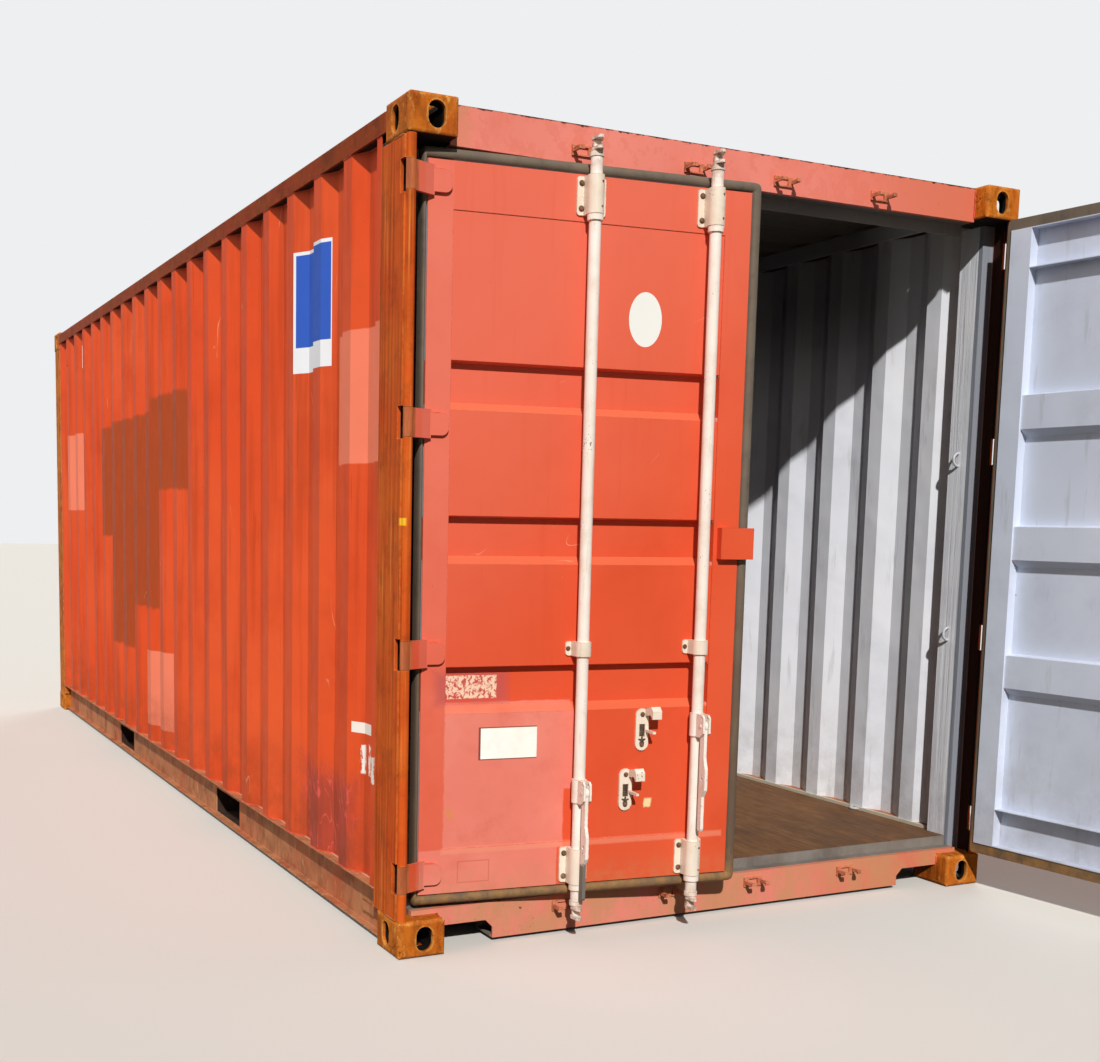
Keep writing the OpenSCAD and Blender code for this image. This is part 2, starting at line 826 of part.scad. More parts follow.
// Steel frame of a leaf that reaches from the hinge edge to the line y = meet
module door_frame(meet) {
  skin = 3;
  color(paint) union() {
    stile(-door_edge, stile_w, skin);
    stile(meet - meet_stile_w, meet_stile_w, skin);
    along_y(-door_edge + stile_w, meet - meet_stile_w) {
      channel(door_top_z - door_rail_high, door_top_z, skin);
      channel(door_low_z, door_low_z + door_rail_low, skin);
    }
  }
}

// Upright tube of a door frame, w wide from y on
module stile(y, w, skin) {
  difference() {
    block([door_in, y, door_low_z], [door_x, y + w, door_top_z]);
    block([door_in + skin, y + skin, door_low_z - 1],
          [door_x - skin, y + w - skin, door_top_z + 1]);
  }
}

// Channel that opens towards the cargo space, between the levels z0 and z1
module channel(z0, z1, skin) {
  polygon([
    [door_in, z0], [door_x - skin - 20, z0], [door_x, z0], [door_x, z1], [door_in, z1],
    [door_in, z1 - skin], [door_x - skin, z1 - skin], [door_x - skin, z0 + skin],
    [door_in, z0 + skin]
  ]);
}

// Folded sheet of a leaf, with three recessed bands that step in at the top
module door_sheet(meet) {
  lip = 6;
  path = concat(
    [[panel_x, panel_low]],
    [for (i = [0 : 2])
      let (z = fold_z + i * fold_pitch)
      each [[panel_x, z - fold_h - fold_slope], [panel_x - fold_depth, z - fold_h],
            [panel_x - fold_depth, z - lip], [panel_x, z]]],
    [[panel_x, panel_high]]
  );
  color(paint) along_y(-door_edge + stile_w, meet - meet_stile_w) polygon(folded(path, sheet));
}

// Rubber seal round a leaf
module door_seal(meet, seal_meet) {
  color(rubber) plate_yz(door_in + 4, door_t - 4 + seal_proud) difference() {
    polygon([
      [-door_edge - seal_hinge, door_low_z - seal_edge], [meet + seal_meet, door_low_z - seal_edge],
      [meet + seal_meet, door_top_z + seal_edge], [-door_edge - seal_hinge, door_top_z + seal_edge]
    ]);
    polygon([
      [-door_edge, door_low_z], [meet, door_low_z], [meet, door_top_z], [-door_edge, door_top_z]
    ]);
  }
}

// Four cranked blades from the hinge axis to the door face
module hinge_blades() {
  foot_y = door_edge - 8;
  color(paint)
    for (z = hinge_z)
      difference() {
        union() {
          translate([hinge_x, -hinge_y, z - blade_h / 2]) cylinder(r = knuckle_r, h = blade_h);
          intersection() {
            translate([0, 0, z - blade_h / 2]) linear_extrude(blade_h) polygon([
              [hinge_x - blade_t / 2, -hinge_y], [hinge_x + blade_t / 2, -hinge_y + 4],
              [door_x + blade_t, -foot_y + 6], [door_x + blade_t, -blade_end],
              [door_x, -blade_end], [door_x, -foot_y]
            ]);
            plate_yz(door_x - 10, 100) union() {
              translate([-hinge_y - 1, z - blade_h / 2]) square([hinge_y - door_edge + 18, blade_h]);
              translate([-hinge_y - 1, z - blade_h / 2 + 10])
                square([hinge_y - blade_end - 22, blade_h - 20]);
              translate([-blade_end - 23, z + blade_h / 2 - 33]) circle(23);
              translate([-blade_end - 23, z - blade_h / 2 + 33]) circle(23);
              translate([-blade_end - 24, z - blade_h / 2 + 33]) square([24, blade_h - 66]);
            }
          }
        }
        translate([hinge_x, -hinge_y, z - blade_h]) cylinder(r = pin_r + fit, h = 2 * blade_h);
      }
}

// Bracket of width w that holds the rod at distance y, on a face at x0, from z upwards
module rod_bracket(y, x0, z, w, h) {
  outer_r = rod_r + bracket_wall;
  difference() {
    union() {
      translate([0, -y, z + h / 2]) plate_yz(x0, bracket_t) round_rect(w, h, 10);
      translate([rod_x, -y, z]) cylinder(r = outer_r, h = h);
      block([x0, -y - outer_r, z], [rod_x, -y + outer_r, z + h]);
    }
    translate([rod_x, -y, z - 1]) cylinder(r = rod_r + fit, h = h + 2);
  }
}

module rod_brackets(meet) {
  color(cream)
    for (y = [rod_outer, rod_inner]) {
      strap_x = y - strap_w / 2 < meet_stile_w - meet ? door_x : panel_x;
      rod_bracket(y, door_x, top_bracket_z, bracket_w, bracket_h);
      rod_bracket(y, strap_x, strap_z - strap_h / 2, strap_w, strap_h);
      rod_bracket(y, door_x, low_bracket_z, bracket_w, bracket_h);
    }
}

// Plate at plate_z with a shelf below and a hook above the handle that lies level at z
module retainer(y, plate_z, z) {
  hook = 8;
  reach = rod_x + handle_t / 2 + retainer_room + hook - panel_x;
  low = z - handle_w / 2 - retainer_room;
  high = z - handle_w / 2 + handle_broad + retainer_room;
  translate([panel_x, -y, 0]) {
    difference() {
      translate([0, 0, plate_z]) plate_yz(0, retainer_t) rotate(90) slot(retainer_h, retainer_w);
      translate([0, 0, plate_z - 3]) plate_yz(retainer_floor, retainer_t) square([20, 42], center = true);
    }
    block([retainer_t, 12, low - hook], [reach, retainer_w / 2, low]);
    along_y(10, retainer_w / 2 + 20) polygon([
      [0, high], [retainer_t, high], [reach - hook - 10, high + 6], [reach - hook, high],
      [reach - hook, high - 6], [reach, high - 6], [reach, high + 20], [reach - 14, high + 34],
      [20, high + 28], [0, high + 20]
    ]);
  }
}

module retainers() {
  color(cream) {
    retainer(retainer_low_y, retainer_low_z, handle_outer_z);
    retainer(retainer_high_y, retainer_high_z, handle_inner_z);
  }
}

// Cam at the end of a rod: two prongs in front and a locking tooth behind
module cam() {
  half = prong_gap / 2;
  cylinder(r = cam_neck, h = 2 * half + 2 * prong_t, center = true);
  for (s = [-1, 1])
    translate([0, 0, s * (half + prong_t / 2)])
      linear_extrude(prong_t, center = true) rotate(prong_angle) {
        circle(cam_root);
        polygon([[0, -cam_root], [prong_reach - 8, -10], [prong_reach, -4], [prong_reach, 4],
                 [prong_reach - 8, 10], [0, cam_root]]);
      }
  translate([-tooth_reach + 6, -tooth_w / 2, -ear_h / 2])
    cube([tooth_reach - 6, tooth_w, ear_h]);
  translate([-tooth_reach + 8, 0, -ear_h / 2]) cylinder(r = tooth_w / 2, h = ear_h);
}

// Rod with its cams, collars and handle hub, in its unlocked position
module lock_rod(y, hub_z) {
  cam_half = prong_gap / 2 + prong_t;
  hub_half = cheek_h / 2;
  gap = handle_t / 2 + 1;
  color(cream) translate([rod_x, -y, 0]) difference() {
    union() {
      translate([0, 0, cam_low_z + cam_half])
        cylinder(r = rod_r, h = cam_top_z - cam_low_z - 2 * cam_half);
      translate([0, 0, cam_top_z]) cam();
      translate([0, 0, cam_low_z]) cam();
      for (z = [cam_low_z + cam_half + 4, cam_top_z - cam_half - 4 - cam_collar_h])
        translate([0, 0, z]) cylinder(r = rod_r + 3, h = cam_collar_h);
      translate([0, 0, top_bracket_z - collar_h - 1]) cylinder(r = rod_r + 6, h = collar_h);
      translate([0, 0, low_bracket_z - collar_h - 1]) cylinder(r = rod_r + 6, h = collar_h);
      translate([0, 0, hub_z - hub_half]) cylinder(r = rod_r + 5, h = cheek_h);
      for (s = [-1, 1])
        translate([0, s * (gap + cheek_t / 2), hub_z]) rotate([90, 0, 0])
          linear_extrude(cheek_t, center = true) polygon([
            [0, -hub_half], [handle_off - 4, -hub_half], [handle_off + eye_r + 2, -hub_half + 16],
            [handle_off + eye_r + 2, hub_half - 10], [handle_off + 8, hub_half], [0, hub_half]
          ]);
      translate([handle_off, 0, hub_z]) rotate([90, 0, 0])
        cylinder(r = handle_pin_r, h = 2 * (gap + cheek_t) + 4, center = true);
    }
    translate([handle_off + 6, 0, hub_z + hub_half - 12]) rotate([90, 0, 0])
      cylinder(r = 5, h = 80, center = true);
  }
}

// Handle that hangs from its pin in front of the rod at distance y
module handle(y, pin_z) {
  inner = -handle_w / 2;
  broad = inner + handle_broad;
  color(cream) translate([rod_x + handle_off, -y, pin_z]) rotate([90, 0, 0])
    linear_extrude(handle_t, center = true) difference() {
      union() {
        circle(eye_r);
        polygon([
          [inner, 0], [inner, -handle_l + 8], [inner + 4, -handle_l], [inner + 16, -handle_l],
          [inner + 20, -handle_l + 8], [inner + 20, -handle_l * 0.67], [broad, -handle_l * 0.6],
          [broad, -handle_l * 0.4], [-inner, -handle_l * 0.3], [-inner, 0]
        ]);
      }
      circle(handle_pin_r + fit);
      translate([inner + handle_broad / 2, -handle_l * 0.5]) circle(6);
    }
}

// Puts a part of the closed left door in its place on the ajar door
module on_left_door() {
  translate([hinge_x, -hinge_y, 0]) rotate(-left_open) translate([-hinge_x, hinge_y, 0])
    children();
}

// Puts a part of the closed left door in the place of the open right door
module on_right_door() {
  translate([hinge_x, hinge_y, 0]) rotate(right_open) translate([-hinge_x, -hinge_y, 0])
    mirror([0, 1, 0]) children();
}

// Frame of the left door with the tab on its meeting edge
module left_door_frame() {
  tab_y = left_edge + seal_left + 1;
  on_left_door() door_frame(left_edge);
  color(paint) on_left_door() union() {
    block([door_x + seal_proud + 18, tab_y - tab_w, tab_z - tab_h / 2],
          [door_x + seal_proud + 24, tab_y, tab_z + tab_h / 2]);
    block([door_x, tab_y - tab_w, tab_z - tab_h / 2],
          [door_x + seal_proud + 18, tab_y - tab_w + 40, tab_z + tab_h / 2]);
  }
}

module left_door_sheet() {
  on_left_door() door_sheet(left_edge);
}

module left_door_seal() {
  on_left_door() door_seal(left_edge, seal_left);
}

module left_hinge_blades() {
  on_left_door() hinge_blades();
}

module left_rod_brackets() {
  on_left_door() rod_brackets(left_edge);
}

module left_retainers() {
  on_left_door() retainers();
}

// Bare plate on the lower part of the left door
module blank_plate() {
  plate_y = -door_edge + stile_w + plate_in;
  color("white") on_left_door()
    block([panel_x, plate_y, fold_z - plate_drop - plate_h],
          [panel_x + sheet, plate_y + plate_w, fold_z - plate_drop]);
}

module right_door_frame() {
  on_right_door() door_frame(right_edge);
}

module right_door_sheet() {
  on_right_door() door_sheet(right_edge);
}

module right_door_seal() {
  on_right_door() door_seal(right_edge, seal_right);
}

module right_hinge_blades() {
  on_right_door() hinge_blades();
}

module right_rod_brackets() {
  on_right_door() rod_brackets(right_edge);
}

module right_retainers() {
  on_right_door() retainers();
}

module left_outer_rod() {
  on_left_door() lock_rod(rod_outer, handle_outer_z);
}

module left_inner_rod() {
  on_left_door() lock_rod(rod_inner, handle_inner_z);
}

module right_inner_rod() {
  on_right_door() lock_rod(rod_inner, handle_inner_z);
}

module right_outer_rod() {
  on_right_door() lock_rod(rod_outer, handle_outer_z);
}

module left_outer_handle() {
  on_left_door() handle(rod_outer, handle_outer_z);
}

module left_inner_handle() {
  on_left_door() handle(rod_inner, handle_inner_z);
}

module right_inner_handle() {
  on_right_door() handle(rod_inner, handle_inner_z);
}

module right_outer_handle() {
  on_right_door() handle(rod_outer, handle_outer_z);
}

top_corner_castings();
bottom_corner_castings();
left_door_post();
right_door_post();
front_posts();
door_header();
door_sill();
front_top_rail();
front_sill();
left_top_rail();
right_top_rail();
left_bottom_rail();
right_bottom_rail();
left_side_wall();
right_side_wall();
front_wall();
roof_sheet();
floor_boards();
cross_members();
forklift_pockets();
cam_keepers();
hinge_pins();
lashing_rings();
vents();
left_door_frame();
left_door_sheet();
left_door_seal();
left_hinge_blades();
left_rod_brackets();
left_retainers();
blank_plate();
right_door_frame();
right_door_sheet();
right_door_seal();
right_hinge_blades();
right_rod_brackets();
right_retainers();
left_outer_rod();
left_inner_rod();
right_inner_rod();
right_outer_rod();
left_outer_handle();
left_inner_handle();
right_inner_handle();
right_outer_handle();
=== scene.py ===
# Looks of the shipping container: metres, Z up, doors at +X, left side at -Y
import math

import bmesh
import bpy
import numpy as np
from mathutils import Matrix, Vector


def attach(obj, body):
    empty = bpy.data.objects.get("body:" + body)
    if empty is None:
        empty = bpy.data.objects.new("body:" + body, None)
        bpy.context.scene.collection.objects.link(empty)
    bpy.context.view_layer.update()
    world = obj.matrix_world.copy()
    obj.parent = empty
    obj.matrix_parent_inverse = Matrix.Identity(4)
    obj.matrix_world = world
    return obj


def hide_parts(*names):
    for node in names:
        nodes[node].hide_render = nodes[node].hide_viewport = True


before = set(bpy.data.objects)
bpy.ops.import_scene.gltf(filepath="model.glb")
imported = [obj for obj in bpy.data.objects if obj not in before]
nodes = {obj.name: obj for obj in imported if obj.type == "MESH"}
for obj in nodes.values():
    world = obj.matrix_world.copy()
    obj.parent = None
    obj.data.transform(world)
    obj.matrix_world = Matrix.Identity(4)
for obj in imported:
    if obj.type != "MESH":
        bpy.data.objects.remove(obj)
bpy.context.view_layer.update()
scene = bpy.context.scene
print("frame loaded:", len(nodes), "nodes")

# Places that several pieces share, all measured on the closed left door
place = {
    "doorFace": 2.964,
    "panelFace": 2.961,
    "doorInside": 2.919,
    "hingeX": 3.011,
    "hingeY": 1.202,
    "rodX": 3.0,
    "rods": {"outer": -0.603, "inner": -0.181},
    "ajarAngle": math.radians(6),
    "openAngle": math.radians(96),
    "side": 1.219,
    "postBack": 2.818,
}


def onDoor(points, right):
    # left door: turned by -ajarAngle about its hinge; right door: y mirrored, turned by openAngle
    p = np.array(points, float)
    side, turn = (1.0, place["openAngle"]) if right else (-1.0, -place["ajarAngle"])
    c, s = math.cos(turn), math.sin(turn)
    x, y = p[..., 0] - place["hingeX"], -side * p[..., 1] - side * place["hingeY"]
    out = p.copy()
    out[..., 0] = place["hingeX"] + c * x - s * y
    out[..., 1] = side * place["hingeY"] + s * x + c * y
    return out


def doorOut(right):
    # outward direction of a door
    turn = place["openAngle"] if right else -place["ajarAngle"]
    return math.cos(turn), math.sin(turn), 0.0


# shader helpers

def paint(r, g, b):
    # screen colour from 0 to 255 -> linear colour
    c = np.array([r, g, b]) / 255
    linear = np.where(c <= 0.04045, c / 12.92, ((c + 0.055) / 1.055) ** 2.4)
    return (*linear.tolist(), 1.0)


def addNode(tree, kind, inputs=None, **settings):
    node = tree.nodes.new("ShaderNode" + kind)
    for key, value in settings.items():
        setattr(node, key, value)
    for key, value in (inputs or {}).items():
        if isinstance(value, bpy.types.NodeSocket):
            tree.links.new(value, node.inputs[key])
        else:
            node.inputs[key].default_value = value
    return node


def calc(tree, operation, a, b=0.0, c=0.0, clamp=False):
    return addNode(tree, "Math", {0: a, 1: b, 2: c}, operation=operation, use_clamp=clamp).outputs[0]


def vec(tree, operation, a, b=(0, 0, 0)):
    node = addNode(tree, "VectorMath", {0: a, 1: b}, operation=operation)
    return node.outputs[1 if operation == "DOT_PRODUCT" else 0]


def mix(tree, mask, a, b, blend="MIX"):
    return addNode(tree, "Mix", {0: mask, 6: a, 7: b}, data_type="RGBA", blend_type=blend).outputs[2]


def ramp(tree, value, low, high):
    return addNode(tree, "MapRange", {0: value, 1: low, 2: high},
                   interpolation_type="SMOOTHSTEP").outputs[0]


def noise(tree, vector, scale, detail=4.0, rough=0.55, warp=0.0):
    return addNode(tree, "TexNoise", {"Vector": vector, "Scale": scale, "Detail": detail,
                                      "Roughness": rough, "Distortion": warp}).outputs["Fac"]


def newGroup(name, inputs, output):
    tree = bpy.data.node_groups.new(name, "ShaderNodeTree")
    kinds = {"v": "NodeSocketVector", "f": "NodeSocketFloat", "c": "NodeSocketColor"}
    for label, kind, value in inputs:
        socket = tree.interface.new_socket(name=label, in_out="INPUT", socket_type=kinds[kind])
        if value is not None:
            socket.default_value = value
    tree.interface.new_socket(name=output[0], in_out="OUTPUT", socket_type=kinds[output[1]])
    start = tree.nodes.new("NodeGroupInput")
    end = tree.nodes.new("NodeGroupOutput")
    return tree, start.outputs, end.inputs[0]


def use(tree, group, inputs):
    node = tree.nodes.new("ShaderNodeGroup")
    node.node_tree = group
    for key, value in inputs.items():
        if isinstance(value, bpy.types.NodeSocket):
            tree.links.new(value, node.inputs[key])
        else:
            node.inputs[key].default_value = value
    return node.outputs[0]


def makeStreaks():
    # noise drawn out along z, cut off at 1 - Amount
    tree, given, out = newGroup("runningStreaks", [
        ("Vector", "v", None), ("Scale", "f", 20.0), ("Stretch", "f", 0.06),
        ("Amount", "f", 0.45), ("Soft", "f", 0.1)], ("Mask", "f"))
    squeeze = addNode(tree, "CombineXYZ", {0: 1.0, 1: 1.0, 2: given["Stretch"]}).outputs[0]
    value = noise(tree, vec(tree, "MULTIPLY", given["Vector"], squeeze), given["Scale"], 6, 0.6)
    edge = calc(tree, "SUBTRACT", 1.0, given["Amount"])
    tree.links.new(ramp(tree, value, calc(tree, "SUBTRACT", edge, given["Soft"]),
                        calc(tree, "ADD", edge, given["Soft"])), out)
    return tree


def makeChips():
    # fine noise + Cluster * (coarse noise - 0.5), cut off at 1 - Amount
    tree, given, out = newGroup("paintChips", [
        ("Vector", "v", None), ("Scale", "f", 90.0), ("Amount", "f", 0.3), ("Cluster", "f", 0.6)],
        ("Mask", "f"))
    fine = noise(tree, given["Vector"], given["Scale"], 5, 0.65)
    coarse = noise(tree, given["Vector"], calc(tree, "MULTIPLY", given["Scale"], 0.06), 2)
    value = calc(tree, "MULTIPLY_ADD", calc(tree, "SUBTRACT", coarse, 0.5), given["Cluster"], fine)
    edge = calc(tree, "SUBTRACT", 1.0, given["Amount"])
    tree.links.new(ramp(tree, value, calc(tree, "SUBTRACT", edge, 0.02),
                        calc(tree, "ADD", edge, 0.02)), out)
    return tree


def makeEdges():
    # (1 - bevelled normal . true normal) * gain, broken up by noise
    tree, given, out = newGroup("edgeWear", [
        ("Vector", "v", None), ("Radius", "f", 0.006), ("Gain", "f", 8.0), ("Scale", "f", 60.0)],
        ("Mask", "f"))
    soft = addNode(tree, "Bevel", {"Radius": given["Radius"]}, samples=4).outputs[0]
    hard = addNode(tree, "NewGeometry").outputs["True Normal"]
    bend = calc(tree, "SUBTRACT", 1.0, vec(tree, "DOT_PRODUCT", soft, hard))
    spots = noise(tree, given["Vector"], given["Scale"], 4, 0.7)
    worn = calc(tree, "MULTIPLY", calc(tree, "MULTIPLY", bend, given["Gain"]),
                ramp(tree, spots, 0.38, 0.62), clamp=True)
    tree.links.new(worn, out)
    return tree


def makePatch():
    # 1 inside the box Center +- Half, whose edge is moved by noise * Ragged
    tree, given, out = newGroup("patchMask", [
        ("Vector", "v", None), ("Center", "v", None), ("Half", "v", None),
        ("Edge", "f", 0.004), ("Ragged", "f", 0.0)], ("Mask", "f"))
    away = vec(tree, "SUBTRACT", vec(tree, "ABSOLUTE",
               vec(tree, "SUBTRACT", given["Vector"], given["Center"])), given["Half"])
    parts = addNode(tree, "SeparateXYZ", {0: away}).outputs
    worst = calc(tree, "MAXIMUM", calc(tree, "MAXIMUM", parts[0], parts[1]), parts[2])
    wobble = calc(tree, "SUBTRACT", noise(tree, given["Vector"], 24, 5, 0.7), 0.5)
    worst = calc(tree, "MULTIPLY_ADD", wobble, given["Ragged"], worst)
    inside = ramp(tree, worst, calc(tree, "MULTIPLY", given["Edge"], -1.0), given["Edge"])
    tree.links.new(calc(tree, "SUBTRACT", 1.0, inside), out)
    return tree


def makeTone():
    # Base shifted towards Faded and Deep by two slow noises
    tree, given, out = newGroup("paintTone", [
        ("Vector", "v", None), ("Base", "c", None), ("Faded", "c", None), ("Deep", "c", None),
        ("Scale", "f", 1.5)], ("Colour", "c"))
    slow = ramp(tree, noise(tree, given["Vector"], given["Scale"], 3), 0.35, 0.75)
    other = vec(tree, "ADD", given["Vector"], (7.3, 2.1, 4.7))
    deep = ramp(tree, noise(tree, other, calc(tree, "MULTIPLY", given["Scale"], 2.6), 5, 0.65), 0.45, 0.8)
    colour = mix(tree, slow, given["Base"], given["Faded"])
    tree.links.new(mix(tree, calc(tree, "MULTIPLY", deep, 0.7), colour, given["Deep"]), out)
    return tree


def makeScratches():
    # thin band round the middle value of a noise that is drawn out along a tilted line
    tree, given, out = newGroup("scratchLines", [
        ("Vector", "v", None), ("Scale", "f", 12.0), ("Width", "f", 0.006), ("Tilt", "v", None),
        ("Amount", "f", 0.4)], ("Mask", "f"))
    turned = addNode(tree, "VectorRotate", {"Vector": given["Vector"], "Rotation": given["Tilt"]},
                     rotation_type="EULER_XYZ").outputs[0]
    value = noise(tree, vec(tree, "MULTIPLY", turned, (1, 1, 0.07)), given["Scale"], 1.5, 0.4)
    line = calc(tree, "ABSOLUTE", calc(tree, "SUBTRACT", value, 0.5))
    line = calc(tree, "SUBTRACT", 1.0, ramp(tree, line, 0.0, given["Width"]))
    edge = calc(tree, "SUBTRACT", 1.0, given["Amount"])
    where = ramp(tree, noise(tree, given["Vector"], calc(tree, "MULTIPLY", given["Scale"], 0.35), 3),
                 edge, calc(tree, "ADD", edge, 0.05))
    tree.links.new(calc(tree, "MULTIPLY", line, where), out)
    return tree


def makeOuterSide():
    # 1 where a face looks along Outward by more than Limit, or lies past Level without looking inwards
    tree, given, out = newGroup("outerSide", [
        ("Vector", "v", None), ("Normal", "v", None), ("Outward", "v", None), ("Level", "f", 0.0),
        ("Limit", "f", 0.05)], ("Mask", "f"))
    facing = vec(tree, "DOT_PRODUCT", given["Normal"], given["Outward"])
    far = calc(tree, "GREATER_THAN", vec(tree, "DOT_PRODUCT", given["Vector"], given["Outward"]), given["Level"])
    far = calc(tree, "MULTIPLY", far, calc(tree, "GREATER_THAN", facing, -0.5))
    tree.links.new(calc(tree, "MAXIMUM", calc(tree, "GREATER_THAN", facing, given["Limit"]), far), out)
    return tree


def makeDirt():
    # 1 at height Low, 0 at High, uneven by noise
    tree, given, out = newGroup("groundDirt", [
        ("Vector", "v", None), ("Low", "f", 0.15), ("High", "f", 0.6), ("Scale", "f", 6.0)],
        ("Mask", "f"))
    height = addNode(tree, "SeparateXYZ", {0: given["Vector"]}).outputs[2]
    rise = ramp(tree, height, given["High"], given["Low"])
    uneven = ramp(tree, noise(tree, given["Vector"], given["Scale"], 6, 0.7), 0.3, 0.7)
    tree.links.new(calc(tree, "MULTIPLY", rise, uneven), out)
    return tree


groups = {
    "streaks": makeStreaks(), "chips": makeChips(), "edges": makeEdges(), "patch": makePatch(),
    "tone": makeTone(), "scratches": makeScratches(), "outer": makeOuterSide(), "dirt": makeDirt(),
}


def newMaterial(name):
    material = bpy.data.materials.new(name)
    material.use_nodes = True
    tree = material.node_tree
    tree.nodes.clear()
    output = tree.nodes.new("ShaderNodeOutputMaterial")
    shader = tree.nodes.new("ShaderNodeBsdfPrincipled")
    tree.links.new(shader.outputs[0], output.inputs[0])
    coords = tree.nodes.new("ShaderNodeTexCoord")
    return material, tree, shader, coords.outputs["Object"], coords.outputs["Normal"]


def dress(tree, shader, colour, rough, height=None, depth=0.001, metal=0.0, gloss=0.2):
    shader.inputs["Specular IOR Level"].default_value = gloss
    for key, value in (("Base Color", colour), ("Roughness", rough), ("Metallic", metal)):
        if isinstance(value, bpy.types.NodeSocket):
            tree.links.new(value, shader.inputs[key])
        else:
            shader.inputs[key].default_value = value
    if height is not None:
        bump = addNode(tree, "Bump", {"Height": height, "Distance": depth, "Strength": 1.0})
        tree.links.new(bump.outputs[0], shader.inputs["Normal"])


def patches(tree, vector, boxes, axis, edge=0.004, ragged=0.0):
    # union of flat boxes (low, high, z low, z high) that run through along the given axis
    total = None
    for a0, a1, z0, z1 in boxes:
        middle, half = [0.0, 0.0, (z0 + z1) / 2], [9.0, 9.0, (z1 - z0) / 2]
        middle[axis], half[axis] = (a0 + a1) / 2, (a1 - a0) / 2
        mask = use(tree, groups["patch"], {"Vector": vector, "Center": middle, "Half": half,
                                           "Edge": edge, "Ragged": ragged})
        total = mask if total is None else calc(tree, "MAXIMUM", total, mask)
    return total


insideLooks = {
    "hold": {"base": (234, 237, 247), "faded": (246, 247, 251), "deep": (214, 217, 229)},
    # door: the hold's grey painted darker, as shade on the doors' inner faces
    "door": {"base": (206, 214, 232), "faded": (216, 223, 239), "deep": (184, 190, 208)},
    "roof": {"base": (112, 104, 98), "faded": (128, 118, 108), "deep": (84, 76, 70)},
    "stain": (150, 146, 142), "chip": (84, 66, 56), "low": 0.17, "high": 0.75,
    # painted shade: the lining darkens deep in the hold and under the roof
    "innerShade": (66, 62, 60), "innerShadeDeep": (1.75, 0.3), "innerShadeHigh": (1.85, 2.35), "innerShadeFrom": (2.6, 2.2),
}


def insideColour(tree, vector, place="hold"):
    # pale grey paint with stains that rise from the floor and a few rust dots; away from the doors it takes painted
    # shade deep inside and under the roof
    look, shared = insideLooks[place], insideLooks
    colour = use(tree, groups["tone"], {"Vector": vector, "Base": paint(*look["base"]),
                 "Faded": paint(*look["faded"]), "Deep": paint(*look["deep"]), "Scale": 1.1})
    marks = use(tree, groups["streaks"], {"Vector": vector, "Scale": 26, "Stretch": 0.12,
                                          "Amount": 0.36, "Soft": 0.06})
    colour = mix(tree, calc(tree, "MULTIPLY", marks, 0.25), colour, paint(*shared["stain"]))
    low = use(tree, groups["dirt"], {"Vector": vector, "Low": shared["low"], "High": shared["high"], "Scale": 7})
    colour = mix(tree, calc(tree, "MULTIPLY", low, 0.4), colour, paint(*shared["stain"]))
    dots = use(tree, groups["chips"], {"Vector": vector, "Scale": 70, "Amount": 0.2, "Cluster": 0.5})
    colour = mix(tree, dots, colour, paint(*shared["chip"]))
    if place == "door":
        return colour
    # painted shade darkens the lining deep inside and under the roof
    parts = addNode(tree, "SeparateXYZ", {0: vector}).outputs
    high = calc(tree, "MULTIPLY", ramp(tree, parts[2], *shared["innerShadeHigh"]), ramp(tree, parts[0], *shared["innerShadeFrom"]))
    innerShade = calc(tree, "MAXIMUM", high, ramp(tree, parts[0], *shared["innerShadeDeep"]))
    return mix(tree, calc(tree, "MULTIPLY", innerShade, 0.75), colour, paint(*shared["innerShade"]))


# paint of the walls, roof and vents

wallLook = {
    "base": (218, 78, 37), "faded": (222, 90, 48), "deep": (194, 65, 29),
    "streak": (160, 58, 26), "brown": (164, 70, 34), "pink": (240, 134, 106),
    "dirt": (128, 62, 36), "chip": (104, 46, 24), "scratch": (232, 170, 130), "white": (240, 232, 224),
}
leftMarks = {
    "brown": [(-1.49, -1.30, 1.24, 1.87), (-1.31, -0.17, 0.88, 1.89), (-1.27, -0.68, 0.63, 0.90),
              (-0.25, 0.42, 1.49, 1.955)],
    "pink": [(2.38, 2.83, 1.537, 1.965), (-2.61, -2.10, 1.39, 1.88), (-0.385, -0.17, 0.268, 0.66),
             (-0.18, 0.095, 0.277, 0.675)],
    "smudge": [(2.07, 2.60, 0.14, 0.47)],
    "dash": [(2.588, 2.714, 0.652, 0.688)],
    "torn": [(2.625, 2.655, 0.515, 0.615), (2.675, 2.745, 0.515, 0.62), (2.785, 2.81, 0.515, 0.60)],
    "pale": [(-2.182, -2.162, 2.29, 2.43)],
    "sticker": (2.005, 2.335, 1.875, 2.30),
}
rightMarks = {
    "brown": [(-0.9, -0.2, 1.1, 1.7)],
    "pink": [(1.35, 1.9, 0.4, 0.95), (-2.3, -2.0, 1.5, 1.9)],
}
plainMarks = {}


